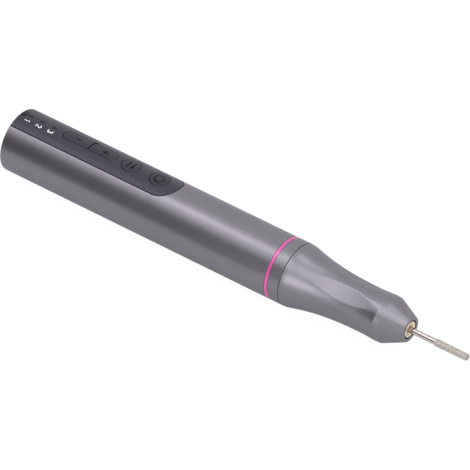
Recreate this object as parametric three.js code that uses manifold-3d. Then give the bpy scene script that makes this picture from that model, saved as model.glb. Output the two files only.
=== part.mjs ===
// Cordless electric engraving pen, in millimetres, lying on its barrel with the key panel up.
// The pen's axis runs along X, from the rear end to the bit, and Z points through the panel's middle.
// The origin is under the middle of the pen's length, on the surface that it lies on.
import * as THREE from "three";
import { mergeVertices } from "three/addons/utils/BufferGeometryUtils.js";
import Module from "manifold-3d";

const wasm = await Module();
wasm.setup();

// Counts, and the turn of the nose in degrees
const shellSides = 48;
const smallSides = 20;
const twistDegrees = 60;

// Clearances
const gap = 0.3;
const fitGap = 0.15;
const seam = 0.1;
const overrun = 1;

// Barrel
const barrelRadius = 12.5;
const barrelWall = 1.2;
const barrelLength = 121.4;
const rearEdgeRound = 0.5;
const metalAheadOfPanel = 48.1;

// Ring, collar and nose along the axis
const ringWidth = 1.2;
const collarLength = 4.7;
const twistGroove = 0.4;
const gripLength = 38.7;
const bandLength = 2.5;
const coneLength = 8.8;

// Bit
const shankRadius = 1.175;
const shankInserted = 19.7;
const shankShown = 11.2;
const burrLength = 14;
const burrProud = 0.285;
const burrTaper = 0.14;

// Walls from the bit outwards, which add up to the nose's waist
const colletWall = 0.85;
const spindleWall = 0.95;
const raceThickness = 0.6;
const ballSpace = 0.85;
const housingWall = 0.9;
const noseWall = 1.515;
const recessDepth = 0.49;

// Radii from the bit outwards
const colletBore = shankRadius + fitGap;
const colletRadius = colletBore + colletWall;
const spindleBore = colletRadius + fitGap;
const spindleRadius = spindleBore + spindleWall;
const bearingBore = spindleRadius + fitGap;
const innerRaceRadius = bearingBore + raceThickness;
const outerRaceBore = innerRaceRadius + ballSpace;
const bearingRadius = outerRaceBore + raceThickness;
const housingBore = bearingRadius + fitGap;
const housingRadius = housingBore + housingWall;
const noseBore = housingRadius + gap;
const recessFloorRadius = noseBore + noseWall;
const waistRadius = recessFloorRadius + recessDepth;

// Places along the axis, from the rear end
const barrelFront = barrelLength;
const ringStart = barrelFront + seam;
const ringEnd = ringStart + ringWidth;
const collarStart = ringEnd + seam;
const collarEnd = collarStart + collarLength;
const noseStart = collarEnd + twistGroove;
const creaseAt = noseStart + gripLength;
const bandEnd = creaseAt + bandLength;
const noseFront = bandEnd + coneLength;
const colletInset = 0.1;
const colletFront = noseFront - colletInset;
const shankRear = colletFront - shankInserted;
const burrStart = colletFront + shankShown;
const penLength = burrStart + burrLength;

// Barrel inside
const barrelBore = barrelRadius - barrelWall;
const insideRadius = barrelBore - gap;
const panelLength = barrelLength - metalAheadOfPanel;
const barrelApothem = barrelRadius * Math.cos(Math.PI / shellSides);

// Colours of the finishes
const finishes = {
  anodised: { color: 0x807c82, roughness: 0.42, metalness: 0.75 },
  panelPlastic: { color: 0x4b4d50, roughness: 0.5, metalness: 0 },
  keyPlastic: { color: 0x47494c, roughness: 0.5, metalness: 0 },
  window: { color: 0x1c1d20, roughness: 0.2, metalness: 0 },
  accent: { color: 0xe8479f, roughness: 0.35, metalness: 0.6 },
  brass: { color: 0xc9a86a, roughness: 0.3, metalness: 1 },
  steel: { color: 0xb9b4b0, roughness: 0.25, metalness: 1 },
  grit: { color: 0xb3a99d, roughness: 0.85, metalness: 0.2 },
  darkPlastic: { color: 0x2b2c2f, roughness: 0.6, metalness: 0 },
  board: { color: 0x1f5b3c, roughness: 0.5, metalness: 0 },
  chip: { color: 0x18181a, roughness: 0.4, metalness: 0 },
  led: { color: 0xe9e6da, roughness: 0.4, metalness: 0 },
  cell: { color: 0x2f6fb0, roughness: 0.4, metalness: 0 },
  nickel: { color: 0xc8c8c4, roughness: 0.3, metalness: 1 },
  redWire: { color: 0xb3261e, roughness: 0.5, metalness: 0 },
  blackWire: { color: 0x1b1b1d, roughness: 0.5, metalness: 0 },
  canSteel: { color: 0x9b9c9f, roughness: 0.35, metalness: 1 },
  magnet: { color: 0x3b3b3f, roughness: 0.5, metalness: 0.6 },
  copper: { color: 0xb87345, roughness: 0.35, metalness: 1 },
  carbon: { color: 0x202022, roughness: 0.7, metalness: 0.1 },
  aluminium: { color: 0xb6b7ba, roughness: 0.4, metalness: 0.9 },
  rubber: { color: 0x151516, roughness: 0.8, metalness: 0 },
};

// Helpers: every helper gives a closed solid
function solid(geometry) {
  const bare = geometry.clone();
  bare.deleteAttribute("normal");
  bare.deleteAttribute("uv");
  const merged = mergeVertices(bare);
  const corners = merged.index.array;
  const kept = [];
  for (let i = 0; i < corners.length; i += 3) {
    const [a, b, c] = corners.slice(i, i + 3);
    if (a !== b && b !== c && c !== a) kept.push(a, b, c);
  }
  const vertProperties = merged.attributes.position.array;
  const build = (list) =>
    new wasm.Manifold(new wasm.Mesh({ numProp: 3, vertProperties, triVerts: new Uint32Array(list) }));
  const made = build(kept);
  return made.volume() < 0 ? build(kept.reverse()) : made;
}

function join(...solids) {
  return solids.reduce((a, b) => a.add(b));
}

function cut(base, ...tools) {
  return tools.reduce((a, b) => a.subtract(b), base);
}

function common(a, b) {
  return a.intersect(b);
}

// A turned piece about the pen's axis: its outline is a list of [place along the axis, radius]
function turned(outline, sides = smallSides) {
  const points = outline.map(([x, radius]) => new THREE.Vector2(radius, x));
  const halfFacet = Math.PI / sides;
  const lathe = new THREE.LatheGeometry(points, sides, halfFacet);
  return solid(lathe.rotateZ(-Math.PI / 2));
}

function rod(x0, x1, radius, sides = smallSides) {
  return turned([[x0, 0], [x0, radius], [x1, radius], [x1, 0]], sides);
}

function tube(x0, x1, inner, outer, sides = smallSides) {
  return turned([[x0, inner], [x0, outer], [x1, outer], [x1, inner], [x0, inner]], sides);
}

function block(x0, x1, y0, y1, z0, z1) {
  const box = new THREE.BoxGeometry(x1 - x0, y1 - y0, z1 - z0);
  return solid(box.translate((x0 + x1) / 2, (y0 + y1) / 2, (z0 + z1) / 2));
}

// A round post that stands along Z
function post(x, y, z0, z1, radius, sides = smallSides) {
  const cylinder = new THREE.CylinderGeometry(radius, radius, z1 - z0, sides);
  return solid(cylinder.rotateX(Math.PI / 2).translate(x, y, (z0 + z1) / 2));
}

// A flat outline in X and Y, raised along Z
function raised(shape, z0, z1) {
  const prism = new THREE.ExtrudeGeometry(shape, { depth: z1 - z0, bevelEnabled: false });
  return solid(prism.translate(0, 0, z0));
}

// A slot shape with round ends: its half width, and where its ends are along X
function roundEnded(x0, x1, half, arcSteps = smallSides / 2) {
  const points = [];
  for (const [centre, start] of [[x1 - half, -Math.PI / 2], [x0 + half, Math.PI / 2]]) {
    for (let i = 0; i <= arcSteps; i += 1) {
      const angle = start + (Math.PI * i) / arcSteps;
      points.push(new THREE.Vector2(centre + half * Math.cos(angle), half * Math.sin(angle)));
    }
  }
  return new THREE.Shape(points);
}

// A round section for a wire
function wireSection(radius, sides) {
  const points = [];
  for (let i = 0; i < sides; i += 1) {
    const angle = (2 * Math.PI * i) / sides;
    points.push(new THREE.Vector2(radius * Math.cos(angle), radius * Math.sin(angle)));
  }
  return new THREE.Shape(points);
}

function turnAboutAxis(piece, degrees) {
  return piece.rotate([degrees, 0, 0]);
}

const root = new THREE.Group();
root.position.set(-penLength / 2, 0, barrelApothem);

function add(name, piece, finish) {
  const mesh = piece.getMesh();
  const geometry = new THREE.BufferGeometry();
  const points = new Float32Array(mesh.vertProperties);
  geometry.setAttribute("position", new THREE.BufferAttribute(points, 3));
  geometry.setIndex(new THREE.BufferAttribute(new Uint32Array(mesh.triVerts), 1));
  geometry.computeVertexNormals();
  const made = new THREE.Mesh(geometry, new THREE.MeshStandardMaterial(finishes[finish]));
  made.name = name;
  root.add(made);
}

// Control panel outline: it wraps the barrel, so its round front end is drawn along the curved surface
const panelHalfArc = 7.75;
const panelArcSteps = 12;

function panelOutline(grow) {
  const reach = panelHalfArc + grow;
  const endCentre = panelLength - panelHalfArc;
  const shape = new THREE.Shape();
  const rear = -overrun;
  const side = (arc) => barrelRadius * Math.sin(arc / barrelRadius);
  shape.moveTo(rear, -side(reach));
  for (let i = 0; i <= panelArcSteps; i += 1) {
    const angle = -Math.PI / 2 + (Math.PI * i) / panelArcSteps;
    shape.lineTo(endCentre + reach * Math.cos(angle), side(reach * Math.sin(angle)));
  }
  shape.lineTo(rear, side(reach));
  return shape;
}

// Barrel skin: the tube that the barrel, the panel and the keys' faces are all cut from
const aboveBarrel = barrelRadius + overrun;

function barrelSkin(inner) {
  return turned(
    [
      [0, inner],
      [0, barrelRadius - rearEdgeRound],
      [rearEdgeRound * (1 - Math.SQRT1_2), barrelRadius - rearEdgeRound * (1 - Math.SQRT1_2)],
      [rearEdgeRound, barrelRadius],
      [barrelFront, barrelRadius],
      [barrelFront, inner],
      [0, inner],
    ],
    shellSides,
  );
}

add("barrel", cut(barrelSkin(barrelBore), raised(panelOutline(fitGap), 0, aboveBarrel)), "anodised");

// Rear cap and charging socket sizes
const capThickness = 3;
const socketWidth = 8.94;
const socketHeight = 3.26;
const socketLength = 7.3;
const socketWall = 0.3;
const socketInset = 0.9;
const tongueWidth = 6.7;
const tongueThickness = 0.7;
const tongueInset = 1.4;
const socketEndSteps = 6;

// Keys: places along the panel are shares of its length
const powerKeyShare = 0.873;
const directionKeyShare = 0.696;
const speedRearShare = 0.273;
const speedFrontShare = 0.607;
const speedSplitShare = 0.442;
const lastWindowShare = 0.2115;
const roundKeyRadius = 3.8;
const speedKeyHalf = 2.5;
const keyGap = 0.2;
const keyFlangeWidth = 0.7;
const keyFlangeThickness = 0.8;
const keyTravel = 0.35;
const stemRadius = 1.1;
const stemLength = 0.8;
const switchSize = 4.5;
const switchBodyHeight = 1.5;
const switchDomeRadius = 1.4;
const switchDomeHeight = 0.5;
const powerKeyAt = powerKeyShare * panelLength;
const directionKeyAt = directionKeyShare * panelLength;
const speedRear = speedRearShare * panelLength;
const speedFront = speedFrontShare * panelLength;
const speedSplit = speedSplitShare * panelLength;

// Heights of the stack under the keys, from the panel down to the cell
const flangeReach = roundKeyRadius + keyFlangeWidth;
const flangeTop = Math.sqrt(barrelBore ** 2 - flangeReach ** 2) - gap;
const flangeBottom = flangeTop - keyFlangeThickness;
const stemBottom = flangeBottom - stemLength;
const switchTop = stemBottom - keyTravel - seam;
const boardThickness = 1;
const boardTop = switchTop - switchBodyHeight - switchDomeHeight - seam;
const boardBottom = boardTop - boardThickness;
const chassisTop = boardBottom - seam;
const cellBelowBoard = 1.2;
const troughFloor = 0.9;
const cellTop = boardBottom - cellBelowBoard;
const cellBottom = -(insideRadius - troughFloor - fitGap);
const cellRadius = (cellTop - cellBottom) / 2;
const cellCentre = (cellTop + cellBottom) / 2;

// Windows beside the level marks, and the dark one by the rear edge
const windowLength = 1.8;
const windowHalfWidth = 0.5;
const indicatorHalfWidth = 1.5;
const indicatorStart = 0.8;
const guideBarThickness = 0.9;
const firstWindowAt = capThickness + gap + windowLength / 2;
const lastWindowAt = lastWindowShare * panelLength;
const windowPlaces = [firstWindowAt, (firstWindowAt + lastWindowAt) / 2, lastWindowAt];

function windowColumn(x, half, grow, z0) {
  const reach = windowLength / 2 + grow;
  return block(x - reach, x + reach, -half - grow, half + grow, z0, aboveBarrel);
}

// The outline of each key, grown by the same amount all round for its hole and its flange
function roundKeyColumn(x, grow, z0, z1) {
  return post(x, 0, z0, z1, roundKeyRadius + grow);
}

function speedKeyShape(grow) {
  return roundEnded(speedRear - grow, speedFront + grow, speedKeyHalf + grow);
}

const indicatorAt = indicatorStart + windowLength / 2;
const panelBody = common(barrelSkin(barrelBore), raised(panelOutline(0), 0, aboveBarrel));
add(
  "control_panel",
  cut(
    panelBody,
    roundKeyColumn(powerKeyAt, keyGap, 0, aboveBarrel),
    roundKeyColumn(directionKeyAt, keyGap, 0, aboveBarrel),
    raised(speedKeyShape(keyGap), 0, aboveBarrel),
    windowColumn(indicatorAt, indicatorHalfWidth, seam, 0),
    ...windowPlaces.map((x) => windowColumn(x, windowHalfWidth, seam, 0)),
  ),
  "panelPlastic",
);

// Keys: a cap flush with the panel, a flange that keeps it in and a stem over its switch
const faceEnvelope = rod(-overrun, barrelFront, barrelRadius, shellSides);

for (const [name, x] of [["power_key", powerKeyAt], ["direction_key", directionKeyAt]]) {
  const cap = common(roundKeyColumn(x, 0, flangeBottom, aboveBarrel), faceEnvelope);
  const flange = roundKeyColumn(x, keyFlangeWidth, flangeBottom, flangeTop);
  const stem = post(x, 0, stemBottom, flangeTop, stemRadius);
  add(name, join(cap, flange, stem), "keyPlastic");
}

const speedKeys = [
  ["speed_down_key", speedRear - flangeReach, speedSplit - keyGap],
  ["speed_up_key", speedSplit + keyGap, speedFront + flangeReach],
];
const speedKeyMiddles = [(speedRear + speedSplit) / 2, (speedSplit + speedFront) / 2];

speedKeys.forEach(([name, from, to], i) => {
  const side = block(from, to, -barrelRadius, barrelRadius, 0, aboveBarrel);
  const cap = common(raised(speedKeyShape(0), flangeBottom, aboveBarrel), faceEnvelope);
  const flange = raised(speedKeyShape(keyFlangeWidth), flangeBottom, flangeTop);
  const stem = post(speedKeyMiddles[i], 0, stemBottom, flangeTop, stemRadius);
  add(name, join(common(join(cap, flange), side), stem), "keyPlastic");
});

// Windows: one clear guide with three prongs, and the indicator by the rear edge
const guideTop = Math.sqrt(barrelBore ** 2 - windowHalfWidth ** 2) - gap;
const guideBar = block(
  windowPlaces[0] - windowLength / 2,
  windowPlaces[2] + windowLength / 2,
  -windowHalfWidth,
  windowHalfWidth,
  guideTop - guideBarThickness,
  guideTop,
);
const prongs = windowPlaces.map((x) => windowColumn(x, windowHalfWidth, 0, guideTop - guideBarThickness));
add("level_light_guide", common(join(guideBar, ...prongs), faceEnvelope), "window");
add(
  "indicator_window",
  common(windowColumn(indicatorAt, indicatorHalfWidth, 0, 0), barrelSkin(barrelBore)),
  "window",
);

// Board with its switches, light bar and chip
const boardRear = capThickness + gap;
const boardShort = 1.3;
const boardFront = panelLength - boardShort;
const boardEdge = 2;
const boardHalfWidth = Math.sqrt(insideRadius ** 2 - boardTop ** 2) - boardEdge;
const screwHeadRadius = 1.2;
const screwHeadHeight = 0.7;
const screwRadius = 0.7;
const screwLength = 3.4;
const screwShares = [[0.25, 1], [0.83, -1]];
const screwFromEdge = screwHeadRadius + gap;
const boardScrews = screwShares.map(([share, side]) => [
  boardRear + share * (boardFront - boardRear),
  side * (boardHalfWidth - screwFromEdge),
]);
const boardBlank = block(boardRear, boardFront, -boardHalfWidth, boardHalfWidth, boardBottom, boardTop);
const boardHoles = boardScrews.map(([x, y]) =>
  post(x, y, boardBottom - overrun, boardTop + overrun, screwRadius + fitGap),
);
add("circuit_board", cut(boardBlank, ...boardHoles), "board");

boardScrews.forEach(([x, y], i) => {
  const headBottom = boardTop + seam;
  const head = post(x, y, headBottom, headBottom + screwHeadHeight, screwHeadRadius, smallSides / 2);
  const shaft = post(x, y, headBottom - screwLength, headBottom, screwRadius, smallSides / 2);
  add("board_screw_" + (i + 1), join(head, shaft), "steel");
});

const switches = [
  ["power_switch", powerKeyAt],
  ["direction_switch", directionKeyAt],
  ["speed_down_switch", speedKeyMiddles[0]],
  ["speed_up_switch", speedKeyMiddles[1]],
];
for (const [name, x] of switches) {
  const half = switchSize / 2;
  const z0 = boardTop + seam;
  const body = block(x - half, x + half, -half, half, z0, z0 + switchBodyHeight);
  const dome = post(x, 0, z0, z0 + switchBodyHeight + switchDomeHeight, switchDomeRadius);
  add(name, join(body, dome), "darkPlastic");
}

const lightBarHeight = 1.3;
const lightBarHalf = 1;
add(
  "level_led_bar",
  block(
    windowPlaces[0] - windowLength / 2,
    windowPlaces[2] + windowLength / 2,
    -lightBarHalf,
    lightBarHalf,
    boardTop + seam,
    boardTop + seam + lightBarHeight,
  ),
  "led",
);

const chipWidth = 5;
const chipToSwitch = 1.5;
const chipHeight = 1;
const chipRear = speedKeyMiddles[1] + switchSize / 2 + chipToSwitch;
const chipFront = directionKeyAt - switchSize / 2 - chipToSwitch;
add(
  "control_chip",
  block(chipRear, chipFront, -chipWidth / 2, chipWidth / 2, boardTop + seam, boardTop + seam + chipHeight),
  "chip",
);

// Charging socket, hung under the board, and the rear cap with its opening
const socketMiddle = chassisTop - socketHeight / 2;

function socketPrism(x0, x1, grow) {
  const half = socketHeight / 2 + grow;
  const reach = socketWidth / 2 + grow;
  const prism = new THREE.ExtrudeGeometry(roundEnded(-reach, reach, half, socketEndSteps), {
    depth: x1 - x0,
    bevelEnabled: false,
  });
  return solid(prism.rotateX(Math.PI / 2).rotateZ(Math.PI / 2).translate(x0, 0, socketMiddle));
}

const socketRear = socketInset;
const socketFront = socketInset + socketLength;
add(
  "usb_shell",
  cut(
    socketPrism(socketRear, socketFront, 0),
    socketPrism(socketRear - overrun, socketFront - socketWall, -socketWall),
  ),
  "nickel",
);
add(
  "usb_tongue",
  block(
    socketRear + tongueInset,
    socketFront - socketWall - fitGap,
    -tongueWidth / 2,
    tongueWidth / 2,
    socketMiddle - tongueThickness / 2,
    socketMiddle + tongueThickness / 2,
  ),
  "darkPlastic",
);
add(
  "rear_cap",
  cut(rod(0, capThickness, insideRadius, shellSides), socketPrism(-overrun, capThickness + overrun, fitGap)),
  "darkPlastic",
);

// Chassis: a trough for the cell with rails for the board
const chassisEndWall = 1;
const tabBay = 1.6;
const chassisRear = socketFront + gap;
const chassisFront = boardFront;
const cellStart = chassisRear + chassisEndWall + tabBay;
const cellEnd = chassisFront - chassisEndWall - tabBay;
const troughRadius = cellRadius + fitGap;
const troughOpenShare = 0.78;

function alongAxisAt(x0, x1, radius, z, sides) {
  return rod(x0, x1, radius, sides).translate([0, 0, z]);
}

const belowBoard = block(chassisRear, chassisFront, -barrelRadius, barrelRadius, -barrelRadius, chassisTop);
const chassisBlank = common(rod(chassisRear, chassisFront, insideRadius, shellSides), belowBoard);
const openHalf = troughRadius * troughOpenShare;
add(
  "inner_chassis",
  cut(
    chassisBlank,
    alongAxisAt(cellStart - tabBay, cellEnd + tabBay, troughRadius, cellCentre, smallSides),
    block(cellStart - tabBay, cellEnd + tabBay, -openHalf, openHalf, cellCentre, boardTop),
    ...boardScrews.map(([x, y]) =>
      post(x, y, boardTop - screwLength - gap, boardTop, screwRadius + fitGap),
    ),
  ),
  "darkPlastic",
);

const cellLip = 0.6;
const cellCapRadius = 2.8;
const cellBody = alongAxisAt(cellStart, cellEnd - cellLip, cellRadius, cellCentre, smallSides);
const cellCap = alongAxisAt(cellStart, cellEnd, cellCapRadius, cellCentre, smallSides);
add("battery_cell", join(cellBody, cellCap), "cell");

const tabThickness = 0.3;
const tabHalfWidth = 1.5;
const tabFoot = 1;

function batteryTab(x, towards) {
  const faceAt = x + towards * seam;
  const far = faceAt + towards * tabThickness;
  const foot = faceAt - towards * tabFoot;
  const low = cellCentre - tabHalfWidth;
  const high = chassisTop;
  const strip = block(Math.min(faceAt, far), Math.max(faceAt, far), -tabHalfWidth, tabHalfWidth, low, high);
  const topFoot = block(
    Math.min(foot, far),
    Math.max(foot, far),
    -tabHalfWidth,
    tabHalfWidth,
    high - tabThickness,
    high,
  );
  return join(strip, topFoot);
}

add("battery_tab_positive", batteryTab(cellEnd, 1), "nickel");
add("battery_tab_negative", batteryTab(cellStart, -1), "nickel");

// Motor: it fills the barrel between the wire bay and the coupling
const wireBay = 9;
const couplingBay = 9.3;
const motorRear = boardFront + wireBay;
const housingRear = barrelFront - couplingBay;
const motorFront = housingRear - gap;
const motorLength = motorFront - motorRear;
const canWall = 0.8;
const canFrontWall = 1.2;
const magnetThickness = 2.2;
const airGap = 0.5;
const motorShaftRadius = 1;
const endCapShare = 0.1;
const spigotShare = 0.05;
const commutatorShares = [0.18, 0.27];
const rotorShares = [0.32, 0.86];
const magnetShares = [0.3, 0.88];
const motorAt = (share) => motorRear + share * motorLength;
const canRadius = insideRadius;
const canBore = canRadius - canWall;
const magnetRadius = canBore - fitGap;
const magnetBore = magnetRadius - magnetThickness;
const rotorRadius = magnetBore - airGap;
const endCapFront = motorAt(endCapShare);
const spigotFront = motorAt(endCapShare + spigotShare);
const canRear = endCapFront + seam;
const shaftHole = motorShaftRadius + fitGap;

// Motor screws reach through the can's front wall from the housing's flange
const motorScrewRadius = 0.8;
const motorScrewHeadRadius = 1.4;
const motorScrewHeadHeight = 0.9;
const motorScrewFromRim = 2.4;
const motorScrewRing = insideRadius - motorScrewFromRim;
const flangeThickness = 2.2;
const motorScrewSides = smallSides / 2;
const screwSides = [1, -1];

function screwHole(x0, x1, radius, side) {
  return rod(x0, x1, radius, motorScrewSides).translate([0, side * motorScrewRing, 0]);
}

const canOuter = rod(canRear, motorFront, canRadius, shellSides);
const canHollow = rod(canRear - overrun, motorFront - canFrontWall, canBore, shellSides);
const canShaftHole = rod(motorFront - canFrontWall - overrun, motorFront + overrun, shaftHole);
add(
  "motor_can",
  cut(
    canOuter,
    canHollow,
    canShaftHole,
    ...screwSides.map((side) =>
      screwHole(motorFront - canFrontWall - overrun, motorFront + overrun, motorScrewRadius + fitGap, side),
    ),
  ),
  "canSteel",
);

const magnetHalfWidth = magnetRadius * Math.SQRT1_2;
const magnetRing = tube(motorAt(magnetShares[0]), motorAt(magnetShares[1]), magnetBore, magnetRadius);
for (const [name, side] of [["motor_magnet_left", 1], ["motor_magnet_right", -1]]) {
  const near = Math.min(0, side * barrelRadius);
  const far = Math.max(0, side * barrelRadius);
  const half = block(motorRear, motorFront, near, far, -magnetHalfWidth, magnetHalfWidth);
  add(name, common(magnetRing, half), "magnet");
}

const commutatorRadius = 2.6;
const brushWidth = 1.2;
const brushLength = 3.2;
const brushMiddle = motorAt((commutatorShares[0] + commutatorShares[1]) / 2);
const brushReach = commutatorRadius + fitGap;
for (const [name, side] of [["motor_brush_left", 1], ["motor_brush_right", -1]]) {
  const near = side * brushReach;
  const far = side * (brushReach + brushLength);
  add(
    name,
    block(
      spigotFront + fitGap,
      brushMiddle + brushWidth / 2,
      Math.min(near, far),
      Math.max(near, far),
      -brushWidth / 2,
      brushWidth / 2,
    ),
    "carbon",
  );
}

const leadRadius = 0.6;
const terminalFromRim = 6;
const terminalRing = canRadius - terminalFromRim;
const motorEndPlate = rod(motorRear, endCapFront, canRadius, shellSides);
const motorSpigot = rod(motorRear, spigotFront, magnetRadius, shellSides);
add(
  "motor_end_cap",
  cut(join(motorEndPlate, motorSpigot), rod(motorRear - overrun, spigotFront + overrun, shaftHole)),
  "darkPlastic",
);

// Rotor: shaft, laminated core with winding slots, commutator
const shaftReach = 2.7;
const shaftEnd = housingRear + shaftReach;
const rotorSlots = 5;
const rotorSlotWidth = 1.6;
const rotorSlotFloor = 2.6;
const rotorRear = motorAt(rotorShares[0]);
const rotorFront = motorAt(rotorShares[1]);
add("motor_shaft", rod(motorRear + seam, shaftEnd, motorShaftRadius), "steel");
let rotorCore = tube(rotorRear, rotorFront, shaftHole, rotorRadius);
for (let i = 0; i < rotorSlots; i += 1) {
  const slot = block(
    rotorRear - overrun,
    rotorFront + overrun,
    -rotorSlotWidth / 2,
    rotorSlotWidth / 2,
    rotorSlotFloor,
    rotorRadius + overrun,
  );
  rotorCore = cut(rotorCore, turnAboutAxis(slot, (360 * i) / rotorSlots));
}
add("rotor_core", rotorCore, "copper");
add(
  "commutator",
  tube(motorAt(commutatorShares[0]), motorAt(commutatorShares[1]), shaftHole, commutatorRadius),
  "copper",
);

// Leads from the board's front edge to the motor's end cap
const leadSides = 8;
const leadSteps = 12;
const leadFromEdge = 4;
const leadSpread = boardHalfWidth - leadFromEdge;
const leadStraight = 3;

function lead(side) {
  const startX = boardFront + seam;
  const endX = motorRear - seam;
  const z = boardTop - boardThickness / 2;
  const path = new THREE.CubicBezierCurve3(
    new THREE.Vector3(startX, side * leadSpread, z),
    new THREE.Vector3(startX + leadStraight, side * leadSpread, z),
    new THREE.Vector3(endX - leadStraight, side * terminalRing, 0),
    new THREE.Vector3(endX, side * terminalRing, 0),
  );
  const section = wireSection(leadRadius, leadSides);
  return solid(new THREE.ExtrudeGeometry(section, { steps: leadSteps, extrudePath: path }));
}

add("motor_lead_positive", lead(1), "redWire");
add("motor_lead_negative", lead(-1), "blackWire");

// Drive coupling: two halves with two jaws each, set a quarter turn apart
const couplingWall = 1.125;
const couplingRadius = spindleRadius + fitGap + couplingWall;
const hubLength = 2.5;
const jawLength = 2;
const jawBore = 2.6;
const jawHalfWidth = 1.5;
const quarterTurn = 90;
const hubRear = housingRear + fitGap;
const hubFront = hubRear + hubLength;
const jawFront = hubFront + jawLength;
const cupRear = jawFront + gap;
const cupFloor = 1;
const spindleRear = cupRear + cupFloor;
const shoulderThickness = 2;
const shoulderRear = barrelFront - shoulderThickness;

function jaws(x0, x1, degrees) {
  const ring = tube(x0, x1, jawBore, couplingRadius);
  const bar = block(x0, x1, -jawHalfWidth, jawHalfWidth, -couplingRadius, couplingRadius);
  return turnAboutAxis(common(ring, bar), degrees);
}

add(
  "coupling_motor_half",
  cut(
    join(rod(hubRear, hubFront, couplingRadius), jaws(hubFront - fitGap, jawFront, 0)),
    rod(hubRear - overrun, shaftEnd + gap, shaftHole),
  ),
  "brass",
);
add(
  "coupling_spindle_half",
  cut(
    join(rod(cupRear, barrelFront - fitGap, couplingRadius), jaws(hubFront + gap, cupRear + fitGap, quarterTurn)),
    rod(spindleRear - fitGap, barrelFront + overrun, bearingBore),
  ),
  "brass",
);

// Bearings: outer race, inner race and a cage of balls
const bearingWidth = 3;
const ballCount = 8;
const ballSides = 6;
const ballRings = 4;
const ballRadius = 0.46;
const grooveGap = 0.14;
const cageWidth = 1.6;
const cageThickness = 0.36;
const ballRing = (innerRaceRadius + outerRaceBore) / 2;
const grooveSteps = 2;

// The points of a groove in a race's wall, which clears the balls all round
function grooveArc(middle, wallRadius, outward) {
  const reach = ballRadius + grooveGap;
  const rise = Math.abs(wallRadius - ballRing);
  const spread = Math.acos(Math.min(1, rise / reach));
  const points = [];
  for (let i = 0; i <= grooveSteps; i += 1) {
    const angle = -spread + (2 * spread * i) / grooveSteps;
    points.push([middle + reach * Math.sin(angle), ballRing + outward * reach * Math.cos(angle)]);
  }
  return points;
}

function bearing(label, rear) {
  const front = rear + bearingWidth;
  const middle = (rear + front) / 2;
  const outer = turned([
    [rear, outerRaceBore],
    ...grooveArc(middle, outerRaceBore, 1),
    [front, outerRaceBore],
    [front, bearingRadius],
    [rear, bearingRadius],
    [rear, outerRaceBore],
  ]);
  const inner = turned([
    [rear, innerRaceRadius],
    ...grooveArc(middle, innerRaceRadius, -1),
    [front, innerRaceRadius],
    [front, bearingBore],
    [rear, bearingBore],
    [rear, innerRaceRadius],
  ]);
  let balls = tube(
    middle - cageWidth / 2,
    middle + cageWidth / 2,
    ballRing - cageThickness / 2,
    ballRing + cageThickness / 2,
  );
  for (let i = 0; i < ballCount; i += 1) {
    const ball = solid(new THREE.SphereGeometry(ballRadius, ballSides, ballRings)).translate([middle, 0, ballRing]);
    balls = join(balls, turnAboutAxis(ball, (360 * i) / ballCount));
  }
  add(label + "_outer", outer, "steel");
  add(label + "_inner", inner, "steel");
  add(label + "_balls", balls, "steel");
}

const rearBearingAt = barrelFront + fitGap;
const frontBearingBehindCrease = 2.6;
const frontBearingAt = creaseAt - frontBearingBehindCrease;
bearing("rear_bearing", rearBearingAt);
bearing("front_bearing", frontBearingAt);

// Release gear: the sleeve slides on the spindle and pushes the cross pin, which moves the drawbar
const releaseTravel = 1.2;
const colletTravel = 0.9;
const pinRadius = 0.6;
const sleeveFromNoseEnd = 6.6;
const sleeveRear = noseStart + sleeveFromNoseEnd;
const sleeveLength = 2.4;
const sleeveFront = sleeveRear + sleeveLength;
const sleeveToPin = 0.5;
const pinAt = sleeveFront + sleeveToPin + pinRadius;
const sleeveBore = spindleRadius + gap;
const sleeveRadius = housingBore - gap;
const lugHalfWidth = 1;
const lugLength = 1.8;
const lugRear = sleeveRear + gap;
const lugFront = lugRear + lugLength;
const lugIntoNose = 0.6;
const lugReach = noseBore + lugIntoNose;
const lugSides = [1, -1];

function lugBlock(side, grow, ahead, reach) {
  const near = Math.min(0, side * reach);
  const far = Math.max(0, side * reach);
  const half = lugHalfWidth + grow;
  return block(lugRear - grow, lugFront + ahead + grow, near, far, -half, half);
}

const sleeveBody = tube(sleeveRear, sleeveFront, sleeveBore, sleeveRadius);
const lugs = lugSides.map((side) => lugBlock(side, 0, 0, lugReach));
const sleeveSolid = cut(join(sleeveBody, ...lugs), rod(sleeveRear - overrun, sleeveFront + overrun, sleeveBore));
add("release_sleeve", sleeveSolid, "steel");

// Housing: a flange in the barrel, a boss for the ring and collar, and a tube for the bearings
const bossShare = 0.287;
const bossRadius = housingRadius + bossShare * (barrelRadius - housingRadius);
const bossEnd = collarEnd - gap;
const screwPocketWall = 0.4;
const chamberRadius = motorScrewRing - motorScrewHeadRadius - screwPocketWall;
const shoulderHole = couplingRadius + gap;
const bearingEnd = frontBearingAt + bearingWidth;
const retainerPlug = 1.1;
const retainerFlange = 1;
const housingFront = bearingEnd + fitGap + retainerPlug;
const clipWidth = 0.8;
const clipDepth = 0.33;
const clipHeight = 0.95;
const clipFromNoseEnd = 3.1;
const clipRear = noseStart + clipFromNoseEnd;
const clipFront = clipRear + clipWidth;
const clipInner = housingRadius - clipDepth + fitGap;
const clipOuter = clipInner + clipHeight;

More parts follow.
